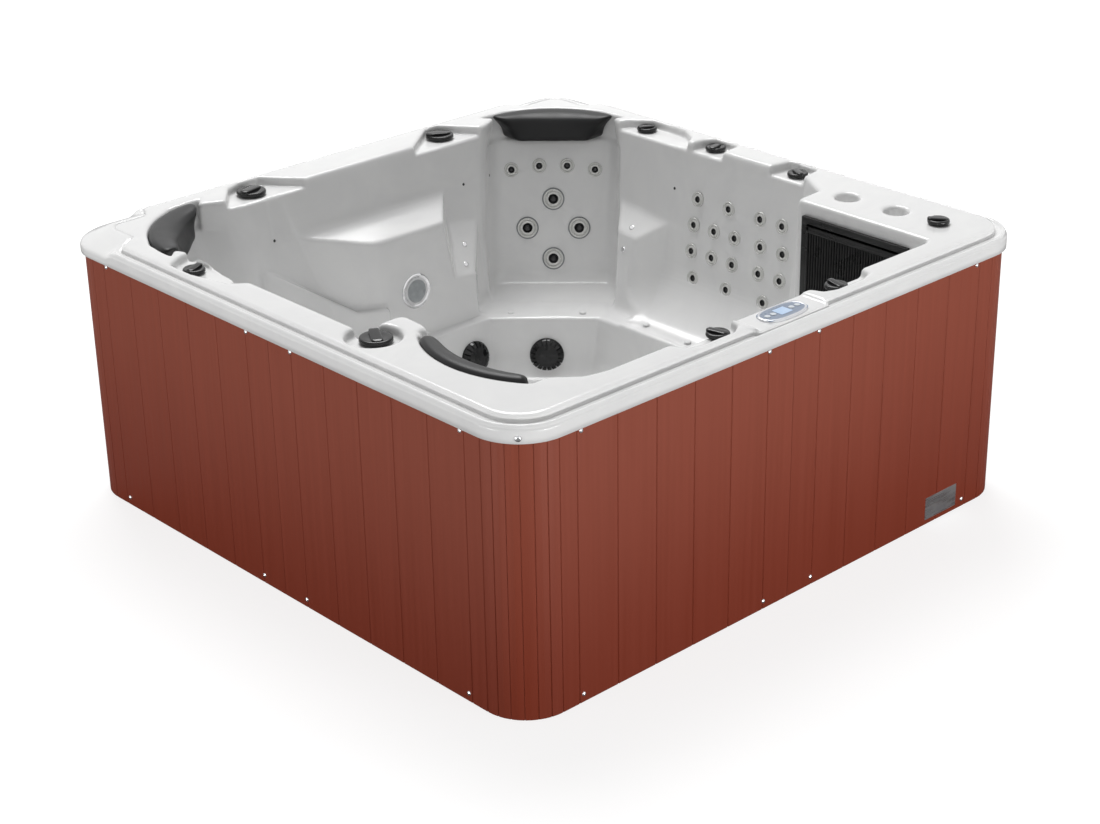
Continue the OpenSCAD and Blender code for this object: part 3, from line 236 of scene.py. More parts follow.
def step(a, b, v):
    t = np.clip((v - a) / (b - a), 0, 1)
    return t * t * (3 - 2 * t)


def depth_from_rim(x, y):
    qx, qy = np.abs(x) - (HALF - RIM_R), np.abs(y) - (HALF - RIM_R)
    outside = np.sqrt(np.maximum(qx, 0) ** 2 + np.maximum(qy, 0) ** 2)
    return -(outside + np.minimum(np.maximum(qx, qy), 0) - RIM_R)


# outline, floor height, roundness of its foot, roundness where it joins the rest
HOLLOWS = [
    (footwell_outline, lambda x, y: FLOOR_Z + 0 * x, 90, 14),
    (back_seat_outline, seat_band, 34, 12),
    (left_seat_outline, seat_band, 40, 14),
    (side_seat_outline, lambda x, y: SEAT_Z - 2 + 60 * step(660, 840, x), 130, 12),
    (armrest_front_outline, lambda x, y: SEAT_Z + 0 * x, 34, 9),
    (armrest_top_outline, lambda x, y: 550 + 0.783 * (x - 793) + 0.093 * (y - 457), 14, 8),
    (lounger_outline, lambda x, y: RIDGE_Z + 0 * x, 60, 22),
    (lounger_foot_outline, lambda x, y: LOUNGER_Z + 20 * step(-200, 0, x) * step(400, 150, x), 90, 40),
    (back_ledge_outline, lambda x, y: LEDGE_Z + (y - LEDGE_EDGE) * LEDGE_RISE / LEDGE_DEPTH, 16, 8),
    (divider_notch_outline, lambda x, y: 602 - 0.093 * (x - 340) + 1.353 * (y - 832), 8, 5),
    (left_ledge_outline, lambda x, y: 600 + 54 * step(-650, -870, x), 40, 26),
]


def cylinder_across(x, y, z, middle, axis, radius, back, front):
    """Distance to a round bore about an axis, from back to front of its middle."""
    dx, dy, dz = x - middle[0], y - middle[1], z - middle[2]
    along = dx * axis[0] + dy * axis[1] + dz * axis[2]
    out = np.sqrt(np.maximum(dx * dx + dy * dy + dz * dz - along * along, 0)) - radius
    return np.maximum(out, np.maximum(-back - along, along - front))


def wall_axis(heading, tilt):
    h, t = math.radians(heading), math.radians(tilt)
    return math.cos(h) * math.cos(t), math.sin(h) * math.cos(t), math.sin(t)


def on_back_seat(across, z, sign=1):
    reach = CORNER_REACH - SEAT_TAN * (DECK_Z - z)
    middle = (sign * (reach + across) / math.sqrt(2), (reach - across) / math.sqrt(2), z)
    a = wall_axis(225, 18)
    return middle, (sign * a[0], a[1], a[2])


def on_side_wall(y, z):
    return (lean(SIDE, z), y, z), wall_axis(180, 9.4)


BORES = [(*on_back_seat(a, z), 30) for a, z in ((0, 592.86), (-93, 494.16), (93, 494.16), (0, 390))]
SMALL_JETS = [on_back_seat(a, z, s) for s in (1, -1) for a, z in ((-150, 692), (-50, 705), (50, 705), (150, 692))]
SMALL_JETS += [on_back_seat(a, z, -1) for a in (-93, 93) for z in (494.16, 589.92)]
SIDE_ROWS = [(710, (170, 27, -116, -214)), (620, (174, 79, -16, -133, -232)), (530, (170, 75, -20, -140, -235)),
             (440, (147, -8, -176))]
SMALL_JETS += [on_side_wall(y, z) for z, row in SIDE_ROWS for y in row]
BORES += [(*jet, 18) for jet in SMALL_JETS]
BORES += [((73, 700 + 27 * (453 - SEAT_Z) / 375, 453), wall_axis(270, 4.1), 45)]
drop = WALL_TAN * (SEAT_Z - 161)
BORES += [((274, 670 - drop, 161), wall_axis(270, 9.4), 40)]
reach = 1028 / math.sqrt(2) - WALL_TAN * (SEAT_Z - 151)
BORES += [(((reach - 16) / math.sqrt(2), (reach + 16) / math.sqrt(2), 151), wall_axis(225, 9.4), 40)]
BORES += [((120, 180, FLOOR_Z), (0, 0, 1), 24)]
KNOBS = {
    "a": (-412, 944, PAD_Z), "b": (404, 953, PAD_Z), "c": (-902, -308, PAD_Z),
    "d": (-953, 491, PAD_Z), "e": (966, 492, PAD_Z), "f": (976, 172, PAD_Z), "g": (966, -208, PAD_Z),
    "h": (866, -868, DECK_Z), "i": (-210, -951, PAD_Z), "j": (293, -948, PAD_Z),
}
BORES += [(place, (0, 0, 1), 27 if name in "abc" else 12) for name, place in KNOBS.items()]
BORE_BACK, BORE_FRONT, BORE_KEEP = 14, 15, 7


def hollow_field(x, y, z):
    """The basin's empty space at one height z."""
    found = np.full(x.shape, 200, np.float32)
    for outline, floor, foot, join in HOLLOWS:
        corners = outline(z)
        xs, ys = [c[0] for c in corners], [c[1] for c in corners]
        i0, i1 = np.searchsorted(x[:, 0], [min(xs) - 90, max(xs) + 90])
        j0, j1 = np.searchsorted(y[0], [min(ys) - 90, max(ys) + 90])
        part = slice(i0, i1), slice(j0, j1)
        across = polygon_distance(x[part], y[part], corners)
        this = soft_max(across, floor(x[part], y[part]) - z, foot)
        found[part] = soft_min(found[part], this, join)
    return found


def shell_field(x, y, z):
    """The moulded shell as if it were solid below, at one height z."""
    hollow = hollow_field(x, y, z)
    # bench along the side of the left seat
    away = np.maximum((x + 85) * 0.482 + (y - LEDGE_EDGE) * 0.876, y - lean(BACK - 6, z))
    top = 434 + np.clip((-158 - x) * 0.68, 0, 198)
    wide = 6 + 22 * np.clip((x + 470) / 160, 0, 1)
    bench = soft_max(soft_max(-(away + wide), z - top, 9), np.maximum(x + 60, -470 - x), 12)
    hollow = soft_max(hollow, -bench, 12)
    rim = depth_from_rim(x, y)
    low = low_corner_share(x, y)
    # headrest recesses
    for sign in (1, -1):
        turn = np.arctan2((sign * x - y) / math.sqrt(2), (sign * x + y) / math.sqrt(2) - 950)
        turned = np.sqrt((sign * x - REST_CENTRE) ** 2 + (y - REST_CENTRE) ** 2) - REST_R
        turned = turned - REST_WIDEN * np.minimum(turn / 0.9, 1.2) ** 2
        foot = HEADREST_Z - z
        recess = soft_max(soft_max(turned, foot + 8, 12), (1105 - (sign * x + y) / math.sqrt(2)), 10)
        hollow = soft_min(hollow, recess, 14)
    around = np.sqrt((x - FRONT_REST[0]) ** 2 + (y - FRONT_REST[1]) ** 2) - (FRONT_REST_R - 2)
    recess = soft_max(soft_max(around, HEADREST_Z + 8 - z, 12),
                      np.maximum(np.abs(y - FRONT_REST[1]) - 230, x + 770), 10)
    hollow = soft_min(hollow, recess, 14)
    # filter bay and its mouth
    bay = np.maximum(np.maximum(743 - x, x - 955), np.maximum(np.abs(y + 665) - 200, np.maximum(460 - z, z - 815)))
    mouth = np.maximum(np.maximum(700 - x, x - 760), np.maximum(np.abs(y + 652) - 190, np.maximum(585 - z, z - 815)))
    front = np.maximum(np.maximum(560 - x, x - 735), np.maximum(np.abs(y + 652) - 215, np.maximum(560 - z, z - 850)))
    hollow = np.minimum(hollow, np.minimum(np.minimum(bay, mouth), front))
    if PAD_Z - 40 < z:
        for corners in PADS.values():
            pad = soft_max(polygon_distance(x, y, corners) + 2, PAD_Z - z, 8)
            hollow = soft_min(hollow, pad, 7)
        pad = soft_max(np.sqrt((x + 920) ** 2 + (y + 320) ** 2) - 80, PAD_Z - z, 12)
        hollow = soft_min(hollow, pad, 14)
        for cx, cy in CUPS:
            cup = soft_max(np.sqrt((x - cx) ** 2 + (y - cy) ** 2) - CUP_R, DECK_Z - CUP_DEPTH - z, 14)
            hollow = soft_min(hollow, cup, 8)
    platform = soft_max(polygon_distance(x, y, PLATFORM), PLATFORM_Z - z, 6)
    deck = DECK_Z - 0.0 * x
    solid = soft_max(z - deck, -hollow, 15)
    limit = DECK_INSET + 0.25 * (z - 874)
    at_panel = step(-150, -135, x) * step(163, 148, x) * (y < 0)
    limit = limit + (PANEL_INSET - limit) * at_panel
    limit = limit + (LOW_INSET - limit) * low
    solid = soft_max(solid, limit - rim, 11)
    solid = soft_max(solid, -platform, 6)
    for middle, axis, radius in BORES:
        if abs(z - middle[2]) < 60:
            bore = cylinder_across(x, y, z, middle, axis, radius, BORE_BACK, BORE_FRONT)
            solid = np.maximum(solid, -bore)
    return solid


LOW_CORNERS = ((1, 1), (-1, 1))
LOW_RUN = 880


def low_corner_share(x, y):
    """1 where the rim slopes down at the two far corners, 0 elsewhere."""
    share = np.zeros(np.shape(x), np.float32)
    for sx, sy in LOW_CORNERS:
        reach = np.minimum(sx * x, sy * y)
        share = np.maximum(share, step(LOW_RUN - 110, LOW_RUN - 60, np.minimum(reach, 1e6)))
    return share


# mesh of the field's surface
def surface_net(field, origin, cell):
    """Vertices and quads of the surface where the field changes sign."""
    shape = tuple(n - 1 for n in field.shape)
    cells, points, quads, flips = [], [], [], []
    for axis in range(3):
        a = field[tuple(slice(None, -1) if d == axis else slice(None) for d in range(3))]
        b = field[tuple(slice(1, None) if d == axis else slice(None) for d in range(3))]
        at = np.argwhere((a < 0) != (b < 0))
        fa, fb = a[tuple(at.T)], b[tuple(at.T)]
        place = at.astype(np.float64)
        place[:, axis] += fa / (fa - fb)
        u, v = [d for d in range(3) if d != axis]
        around = []
        for du, dv in ((0, 0), (-1, 0), (-1, -1), (0, -1)):
            c = at.copy()
            c[:, u] += du
            c[:, v] += dv
            around.append(c)
        fits = np.all([np.all((c >= 0) & (c < shape), axis=1) for c in around], axis=0)
        ids = [np.ravel_multi_index(tuple(c[fits].T), shape) for c in around]
        for i in ids:
            cells.append(i)
            points.append(place[fits])
        quads.append(np.stack(ids, axis=1))
        flips.append((fa[fits] < 0) != (axis == 1))
    cells, points = np.concatenate(cells), np.concatenate(points)
    quads, flips = np.concatenate(quads), np.concatenate(flips)
    used, index = np.unique(cells, return_inverse=True)
    count = np.bincount(index)
    vertices = np.stack([np.bincount(index, points[:, d]) / count for d in range(3)], axis=1)
    quads = np.searchsorted(used, quads)
    quads[~flips] = quads[~flips][:, ::-1]
    return origin + vertices * cell, quads


GRID_REACH, GRID_BOTTOM, GRID_TOP = 1056, 58, 914


def field_on_grid(cell):
    xs = np.arange(-GRID_REACH, GRID_REACH + cell, cell, dtype=np.float32)
    zs = np.arange(GRID_BOTTOM, GRID_TOP, cell, dtype=np.float32)
    x, y = np.meshgrid(xs, xs, indexing="ij")
    with ThreadPoolExecutor(4) as workers:
        slices = list(workers.map(lambda z: shell_field(x, y, float(z)).astype(np.float32), zs))
    return np.stack(slices, axis=2), np.array([xs[0], xs[0], zs[0]])


# small mesh tools
def new_object(name, mesh, body, slot, material, *replaced):
    made = bpy.data.objects.new(name, mesh)
    bpy.context.scene.collection.objects.link(made)
    made.data.materials.clear()
    made.data.materials.append(material)
    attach(made, body)
    if replaced:
        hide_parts(*replaced)
    return made


def mesh_of(name, vertices, faces, smooth=True):
    mesh = bpy.data.meshes.new(name)
    mesh.from_pydata([tuple(float(c) for c in v) for v in vertices], [], [tuple(int(i) for i in f) for f in faces])
    mesh.validate()
    mesh.update()
    if smooth:
        mesh.shade_smooth()
    return mesh


def finished(made, *modifiers):
    """Applies modifiers, given as (kind, settings), to an object's mesh."""
    for kind, settings in modifiers:
        added = made.modifiers.new(kind.lower(), kind)
        for key, value in settings.items():
            setattr(added, key, value)
    found = made.evaluated_get(bpy.context.evaluated_depsgraph_get())
    mesh = bpy.data.meshes.new_from_object(found)
    made.modifiers.clear()
    made.data = mesh
    return made


def lathe(profile, turns=48):
    """Vertices and faces of a profile of (radius, height) turned about Z; radius 0 closes an end."""
    vertices, faces, rings = [], [], []
    for radius, height in profile:
        if radius <= 0:
            rings.append([len(vertices)] * turns)
            vertices.append((0, 0, height))
        else:
            rings.append(list(range(len(vertices), len(vertices) + turns)))
            for k in range(turns):
                a = 2 * math.pi * k / turns
                vertices.append((radius * math.cos(a), radius * math.sin(a), height))
    for low, high in zip(rings, rings[1:]):
        for k in range(turns):
            m = (k + 1) % turns
            face = [low[k], low[m], high[m], high[k]]
            face = [v for i, v in enumerate(face) if v not in face[:i]]
            if len(face) > 2:
                faces.append(face)
    return vertices, faces


def placed(vertices, middle, axis, spin=0):
    """Moves vertices so that their Z lies along axis at middle."""
    axis = np.array(axis, float) / np.linalg.norm(axis)
    side = np.cross((0, 0, 1), axis)
    side = np.array((1.0, 0, 0)) if np.linalg.norm(side) < 1e-6 else side / np.linalg.norm(side)
    up = np.cross(axis, side)
    a = math.radians(spin)
    u, v = side * math.cos(a) + up * math.sin(a), up * math.cos(a) - side * math.sin(a)
    vertices = np.array(vertices, float)
    return np.array(middle) + vertices[:, :1] * u + vertices[:, 1:2] * v + vertices[:, 2:] * axis


def joined(parts):
    """One vertex and face list from several."""
    vertices, faces = [], []
    for some, more in parts:
        faces += [[i + len(vertices) for i in f] for f in more]
        vertices += [tuple(v) for v in some]
    return vertices, faces


def swept(rings, closed_path=False):
    """Quads between rings of points; each ring is closed, and an open path is capped."""
    n = len(rings[0])
    vertices = [tuple(p) for ring in rings for p in ring]
    faces = []
    last = len(rings) if closed_path else len(rings) - 1
    for k in range(last):
        a, b = k * n, ((k + 1) % len(rings)) * n
        faces += [(a + i, a + (i + 1) % n, b + (i + 1) % n, b + i) for i in range(n)]
    if not closed_path:
        faces.append(tuple(range(n - 1, -1, -1)))
        faces.append(tuple((len(rings) - 1) * n + i for i in range(n)))
    return vertices, faces


def curve_through(points, count):
    """A smooth loop through the points."""
    p = np.array(points, float)
    out = []
    for s in range(len(p)):
        q = [p[(s + d) % len(p)] for d in (-1, 0, 1, 2)]
        for k in range(count):
            t = k / count
            out.append(0.5 * (2 * q[1] + (q[2] - q[0]) * t + (2 * q[0] - 5 * q[1] + 4 * q[2] - q[3]) * t * t
                              + (3 * q[1] - q[0] - 3 * q[2] + q[3]) * t ** 3))
    return out


# materials
def node_group(name, inputs, output):
    group = bpy.data.node_groups.new(name, "ShaderNodeTree")
    for label, kind, value in inputs:
        socket = group.interface.new_socket(name=label, in_out="INPUT", socket_type=kind)
        socket.default_value = value
    group.interface.new_socket(name=output[0], in_out="OUTPUT", socket_type=output[1])
    return group, group.nodes.new("NodeGroupInput"), group.nodes.new("NodeGroupOutput")


def stretched_noise(group, given, detail):
    place = group.nodes.new("ShaderNodeTexCoord")
    stretch = group.nodes.new("ShaderNodeVectorMath")
    stretch.operation = "MULTIPLY"
    noise = group.nodes.new("ShaderNodeTexNoise")
    noise.inputs["Detail"].default_value = detail
    group.links.new(place.outputs["Object"], stretch.inputs[0])
    group.links.new(given.outputs["Stretch"], stretch.inputs[1])
    group.links.new(stretch.outputs[0], noise.inputs["Vector"])
    group.links.new(given.outputs["Scale"], noise.inputs["Scale"])
    group.links.new(given.outputs["Swirl"], noise.inputs["Distortion"])
    return noise


NOISE_INPUTS = [("Scale", "NodeSocketFloat", 10.0), ("Stretch", "NodeSocketVector", (1, 1, 1)),
                ("Swirl", "NodeSocketFloat", 0.0)]


def make_uneven_value():
    inputs = NOISE_INPUTS + [("Low", "NodeSocketFloat", 0.2), ("High", "NodeSocketFloat", 0.4)]
    group, given, put = node_group("uneven value", inputs, ("Value", "NodeSocketFloat"))
    noise = stretched_noise(group, given, 4)
    spread = group.nodes.new("ShaderNodeMapRange")
    spread.inputs["From Min"].default_value = 0.3
    spread.inputs["From Max"].default_value = 0.7
    group.links.new(noise.outputs["Fac"], spread.inputs["Value"])
    group.links.new(given.outputs["Low"], spread.inputs["To Min"])
    group.links.new(given.outputs["High"], spread.inputs["To Max"])
    group.links.new(spread.outputs["Result"], put.inputs["Value"])
    return group


def make_uneven_colour():
    inputs = NOISE_INPUTS + [("First", "NodeSocketColor", (1, 1, 1, 1)), ("Second", "NodeSocketColor", (1, 1, 1, 1))]
    group, given, put = node_group("uneven colour", inputs, ("Colour", "NodeSocketColor"))
    noise = stretched_noise(group, given, 6)
    spread = group.nodes.new("ShaderNodeMapRange")
    spread.inputs["From Min"].default_value = 0.3
    spread.inputs["From Max"].default_value = 0.7
    mix = group.nodes.new("ShaderNodeMix")
    mix.data_type = "RGBA"
    group.links.new(noise.outputs["Fac"], spread.inputs["Value"])
    group.links.new(spread.outputs["Result"], mix.inputs["Factor"])
    group.links.new(given.outputs["First"], mix.inputs["A"])
    group.links.new(given.outputs["Second"], mix.inputs["B"])
    group.links.new(mix.outputs["Result"], put.inputs["Colour"])
    return group


def make_fine_relief():
    inputs = NOISE_INPUTS + [("Strength", "NodeSocketFloat", 0.1), ("Depth", "NodeSocketFloat", 0.001)]
    group, given, put = node_group("fine relief", inputs, ("Normal", "NodeSocketVector"))
    noise = stretched_noise(group, given, 3)
    bump = group.nodes.new("ShaderNodeBump")
    group.links.new(noise.outputs["Fac"], bump.inputs["Height"])
    group.links.new(given.outputs["Strength"], bump.inputs["Strength"])
    group.links.new(given.outputs["Depth"], bump.inputs["Distance"])
    group.links.new(bump.outputs["Normal"], put.inputs["Normal"])
    return group


UNEVEN_VALUE, UNEVEN_COLOUR, FINE_RELIEF = make_uneven_value(), make_uneven_colour(), make_fine_relief()


def make_painted_foot_shade():
    """Painted shade: colour that darkens towards the ground, standing in for the shade low on the cabinet."""
    inputs = [("Colour", "NodeSocketColor", (1, 1, 1, 1)), ("Foot", "NodeSocketColor", (1, 1, 1, 1)),
              ("Height", "NodeSocketFloat", 1.0)]
    group, given, put = node_group("painted foot shade", inputs, ("Colour", "NodeSocketColor"))
    place = group.nodes.new("ShaderNodeTexCoord")
    split = group.nodes.new("ShaderNodeSeparateXYZ")
    up = group.nodes.new("ShaderNodeMapRange")
    up.interpolation_type = "SMOOTHSTEP"
    tint = group.nodes.new("ShaderNodeMix")
    tint.data_type = "RGBA"
    tint.inputs["B"].default_value = (1, 1, 1, 1)
    mix = group.nodes.new("ShaderNodeMix")
    mix.data_type, mix.blend_type = "RGBA", "MULTIPLY"
    mix.inputs["Factor"].default_value = 1
    group.links.new(place.outputs["Object"], split.inputs[0])
    group.links.new(split.outputs["Z"], up.inputs["Value"])
    group.links.new(given.outputs["Height"], up.inputs["From Max"])
    group.links.new(up.outputs["Result"], tint.inputs["Factor"])
    group.links.new(given.outputs["Foot"], tint.inputs["A"])
    group.links.new(given.outputs["Colour"], mix.inputs["A"])
    group.links.new(tint.outputs["Result"], mix.inputs["B"])
    group.links.new(mix.outputs["Result"], put.inputs["Colour"])
    return group


PAINTED_FOOT_SHADE = make_painted_foot_shade()


def use_group(tree, group, values, shader, socket):
    node = tree.nodes.new("ShaderNodeGroup")
    node.node_tree = group
    for key, value in values.items():
        node.inputs[key].default_value = value
    tree.links.new(node.outputs[0], shader.inputs[socket])
    return node


def finish_of(name, first, second, rough, colour_noise=None, rough_noise=None, relief=None, foot=None, **plain):
    """A material whose colour, gloss and relief vary over the surface."""
    material = bpy.data.materials.new(name)
    material.use_nodes = True
    tree = material.node_tree
    shader = tree.nodes["Principled BSDF"]
    use_group(tree, UNEVEN_COLOUR, {"First": (*first, 1), "Second": (*second, 1), **(colour_noise or {"Scale": 6})},
              shader, "Base Color")
    use_group(tree, UNEVEN_VALUE, {"Low": rough[0], "High": rough[1], **(rough_noise or {"Scale": 14})},
              shader, "Roughness")
    # painted shade: where foot is given, the colour darkens towards the ground
    if foot:
        colour = shader.inputs["Base Color"].links[0].from_socket
        darker = use_group(tree, PAINTED_FOOT_SHADE, {"Foot": (*foot, 1), "Height": 0.85}, shader, "Base Color")
        tree.links.new(colour, darker.inputs["Colour"])
    if relief:
        use_group(tree, FINE_RELIEF, relief, shader, "Normal")
    for key, value in plain.items():
        shader.inputs[key.replace("_", " ")].default_value = value
    return material


FINISH = {
    "acrylic": finish_of("acrylic", (0.765, 0.765, 0.765), (0.8, 0.8, 0.795), (0.14, 0.2),
                         {"Scale": 3.2, "Stretch": (1, 1.6, 1), "Swirl": 2.5}, {"Scale": 5},
                         {"Scale": 60, "Strength": 0.03, "Depth": 0.0006}),
    # the cabinet's foot colour is painted shade, darker towards the ground
    "cabinet": finish_of("cabinet boards", (0.24, 0.057, 0.033), (0.262, 0.064, 0.038), (0.42, 0.54),
                         {"Scale": 60, "Stretch": (1, 1, 0.02), "Swirl": 0.2},
                         {"Scale": 60, "Stretch": (1, 1, 0.03)},
                         {"Scale": 260, "Stretch": (1, 1, 0.015), "Strength": 0.1, "Depth": 0.0003},
                         foot=(0.72, 0.5, 0.4), Specular_IOR_Level=0.2),
    "stainless": finish_of("stainless steel", (0.62, 0.63, 0.65), (0.74, 0.75, 0.76), (0.22, 0.36),
                           {"Scale": 30}, {"Scale": 200, "Stretch": (0.05, 0.05, 1)},
                           {"Scale": 400, "Stretch": (0.04, 0.04, 1), "Strength": 0.05, "Depth": 0.0002}, Metallic=1.0),
    "tray": finish_of("tray plastic", (0.03, 0.03, 0.032), (0.05, 0.05, 0.053), (0.5, 0.7),
                      relief={"Scale": 300, "Strength": 0.2, "Depth": 0.0004}),
    "timber": finish_of("planed softwood", (0.5, 0.33, 0.18), (0.66, 0.48, 0.3), (0.55, 0.75),
                        {"Scale": 24, "Stretch": (1, 1, 0.08), "Swirl": 1.0}, None,
                        {"Scale": 140, "Stretch": (1, 1, 0.05), "Strength": 0.3, "Depth": 0.0008}),
    "pillow": finish_of("headrest skin", (0.009, 0.009, 0.0095), (0.012, 0.012, 0.0125), (0.32, 0.4),
                        {"Scale": 9}, {"Scale": 20}, {"Scale": 900, "Strength": 0.16, "Depth": 0.0003},
                        Specular_IOR_Level=0.22),
    "black_gloss": finish_of("black gloss plastic", (0.005, 0.005, 0.005), (0.009, 0.009, 0.01), (0.08, 0.15),
                             {"Scale": 20}, {"Scale": 30}, {"Scale": 120, "Strength": 0.03, "Depth": 0.0003},
                             Specular_IOR_Level=0.36),
    "black_matt": finish_of("black satin plastic", (0.006, 0.006, 0.006), (0.011, 0.011, 0.011), (0.25, 0.38),
                            {"Scale": 20}, None, {"Scale": 500, "Strength": 0.1, "Depth": 0.0002},
                            Specular_IOR_Level=0.3),
    "grey_plastic": finish_of("grey plastic", (0.2, 0.21, 0.22), (0.25, 0.26, 0.27), (0.4, 0.55),
                              relief={"Scale": 400, "Strength": 0.1, "Depth": 0.0002}),
    "chrome_trim": finish_of("polished trim", (0.66, 0.66, 0.67), (0.78, 0.78, 0.79), (0.1, 0.2),
                             {"Scale": 25}, {"Scale": 60}, {"Scale": 90, "Strength": 0.02, "Depth": 0.0002},
                             Metallic=1.0),
    "panel_slate": finish_of("panel foil", (0.19, 0.235, 0.32), (0.23, 0.28, 0.37), (0.25, 0.35),
                             relief={"Scale": 700, "Strength": 0.05, "Depth": 0.0001}),
    "display": finish_of("display window", (0.45, 0.62, 0.86), (0.55, 0.7, 0.92), (0.08, 0.14), {"Scale": 30}),
    "button": finish_of("key caps", (0.6, 0.64, 0.68), (0.66, 0.7, 0.74), (0.28, 0.38)),
    "lens": finish_of("frosted lens", (0.3, 0.32, 0.33), (0.38, 0.4, 0.41), (0.25, 0.4), {"Scale": 60},
                      relief={"Scale": 260, "Strength": 0.25, "Depth": 0.0006}),
    "pale_plastic": finish_of("white plastic", (0.66, 0.66, 0.66), (0.74, 0.74, 0.74), (0.25, 0.38)),
    "pleats": finish_of("filter cloth", (0.72, 0.73, 0.74), (0.8, 0.81, 0.82), (0.8, 0.95),
                        relief={"Scale": 900, "Strength": 0.3, "Depth": 0.0003}),
    "motor_paint": finish_of("motor enamel", (0.05, 0.1, 0.17), (0.07, 0.13, 0.2), (0.35, 0.5),
                             relief={"Scale": 150, "Strength": 0.1, "Depth": 0.0004}),
    "panel_silver": finish_of("panel frame silver", (0.6, 0.61, 0.63), (0.68, 0.69, 0.71), (0.18, 0.28), {"Scale": 30},
                              None, {"Scale": 200, "Strength": 0.02, "Depth": 0.0002}, Metallic=0.4),
    "jet_trim": finish_of("jet trim", (0.6, 0.6, 0.58), (0.68, 0.68, 0.66), (0.16, 0.28), {"Scale": 25}, {"Scale": 60},
                          {"Scale": 90, "Strength": 0.02, "Depth": 0.0002}, Metallic=0.2),
    "nozzle": finish_of("jet nozzle plastic", (0.006, 0.006, 0.007), (0.012, 0.012, 0.013), (0.25, 0.4)),
}
for part in frame["record"]["subparts"]:
    solid = frame["nodes"].get(part["node"])
    if solid is not None:
        for slot in solid.material_slots:
            slot.material = FINISH[part["material_slot"]]

# shell: basin, seats and deck
CELL = 6.5
UNDER_RIM_Z, RIM_CUT, LOW_CUT, LINING_BOTTOM = 868, 50, 116, 60
field, origin = field_on_grid(CELL)
points, quads = surface_net(field, origin, CELL)
middle = points[quads].mean(axis=1)
rim = depth_from_rim(middle[:, 0], middle[:, 1])
edge = RIM_CUT + (LOW_CUT - RIM_CUT) * low_corner_share(middle[:, 0], middle[:, 1])
keep = ~((middle[:, 2] < UNDER_RIM_Z) & (rim < edge)) & (middle[:, 2] > LINING_BOTTOM)
for place, axis, radius in BORES:
    away = middle - np.array(place)
    along = away @ np.array(axis)
    out = np.sqrt(np.maximum((away ** 2).sum(axis=1) - along ** 2, 0))
    keep &= ~((out < radius + 3) & (along < -BORE_KEEP) & (along > -BORE_BACK - 6))
quads = quads[keep]
used = np.unique(quads)
lining = new_object("shell_lining", mesh_of("shell_lining", points[used] * MM, np.searchsorted(used, quads)),
                    "tub", "acrylic", FINISH["acrylic"], "acrylic_shell")
finished(lining, ("DECIMATE", {"ratio": 0.34}), ("SOLIDIFY", {"thickness": 0.004, "offset": -1.0}))
lining.data.shade_smooth()

# rim: lip, bead and groove, which give way to a plain slope at the two low corners
RIM_LINE = [(0, 830), (0, 850), (0, 864), (1, 867), (3.5, 869), (4.5, 872), (5.5, 876), (8, 879), (11.5, 880.2),
            (15, 879), (17.5, 876.5), (19.5, 873.8), (24, 872.8), (30, 872.6), (40, 872.8), (46, 870),
            (46, 862), (14, 860), (8, 855), (8, 830)]
LOW_LINE = [(0, 830), (0, 840), (0, 847), (1, 851), (3, 854.5), (6, 857.5), (10, 860), (16, 863.2), (26, 867.6),
            (38, 872.6), (50, 877.8), (62, 882.6), (74, 887), (86, 890.8), (98, 893.2), (114, 894.2),
            (114, 888), (60, 872), (8, 848), (8, 830)]


def rim_path():
    """Points round the rim's outer face with the direction inwards."""
    path = []
    reach = HALF - RIM_R
    for k in range(4):
        a = math.pi / 2 * k
        turn = np.array([[math.cos(a), -math.sin(a)], [math.sin(a), math.cos(a)]])
        for y in np.linspace(-reach, reach, 120, endpoint=False):
            path.append((turn @ (HALF, y), turn @ (-1.0, 0)))
        for b in np.linspace(0, math.pi / 2, 30, endpoint=False):
            out = np.array((math.cos(b), math.sin(b)))
            path.append((turn @ (np.array((reach, reach)) + RIM_R * out), turn @ -out))
    return path


rings = []
for place, inwards in rim_path():
    share = float(low_corner_share(*place))
    rings.append([(*(place + inwards * u), z) for u, z in
                  ((a[0] + (b[0] - a[0]) * share, a[1] + (b[1] - a[1]) * share) for a, b in zip(RIM_LINE, LOW_LINE))])
points, faces = swept(rings, closed_path=True)
new_object("shell_rim", mesh_of("shell_rim", np.array(points) * MM, faces), "tub", "acrylic",
           FINISH["acrylic"], "acrylic_shell")

# headrests
CORNER_PAD = curve_through([(1, 4), (0, 40), (0.5, 80), (4, 91), (13, 95), (28, 94.5), (42, 91), (54, 84), (62, 75),
                            (67, 62), (71, 48), (75, 34), (79, 21), (80, 11), (76, 4), (60, 1), (40, 1), (20, 1)], 3)
FRONT_PAD = curve_through([(1, 4), (0, 40), (0.5, 82), (4, 93), (13, 99), (26, 101), (40, 99), (53, 92), (65, 81),
                           (76, 65), (86, 46), (94, 30), (99, 17), (99, 8), (90, 2), (60, 1), (30, 1)], 3)


def headrest(name, line, centre, heading, radius, grow, depth, end_depth, half_turn, flare, raised):
    """A curved pad of one section, deepest in the middle, with rounded ends."""
    rings = []
    for t in np.linspace(-1, 1, 65):
        t = math.sin(t * math.pi / 2)
        full = math.sqrt(max(0.0, 1 - abs(t) ** 22))
        thick = (depth + (end_depth - depth) * t * t) / 100
        ring = []
        for d, z in line:
            d, z = 42 + (d - 42) * (0.25 + 0.75 * full), 46 + (z - 46) * (0.25 + 0.75 * full)
            a = math.radians(heading + t * half_turn * (1 - 0.26 * flare * (1 - (max(0, z) / 95) ** 2.4)))
            r = radius + grow * t * t - 1.2 - d * thick
            ring.append((centre[0] + r * math.cos(a), centre[1] + r * math.sin(a), DECK_Z - 98 + raised + z))
        rings.append(ring)
    points, faces = swept(rings)
    made = new_object("pad_" + name, mesh_of("pad_" + name, np.array(points) * MM, faces), "tub", "pillow",
                      FINISH["pillow"], "pillow_" + name)
    finished(made, ("SUBSURF", {"levels": 1}))
    made.data.shade_smooth()
    return made


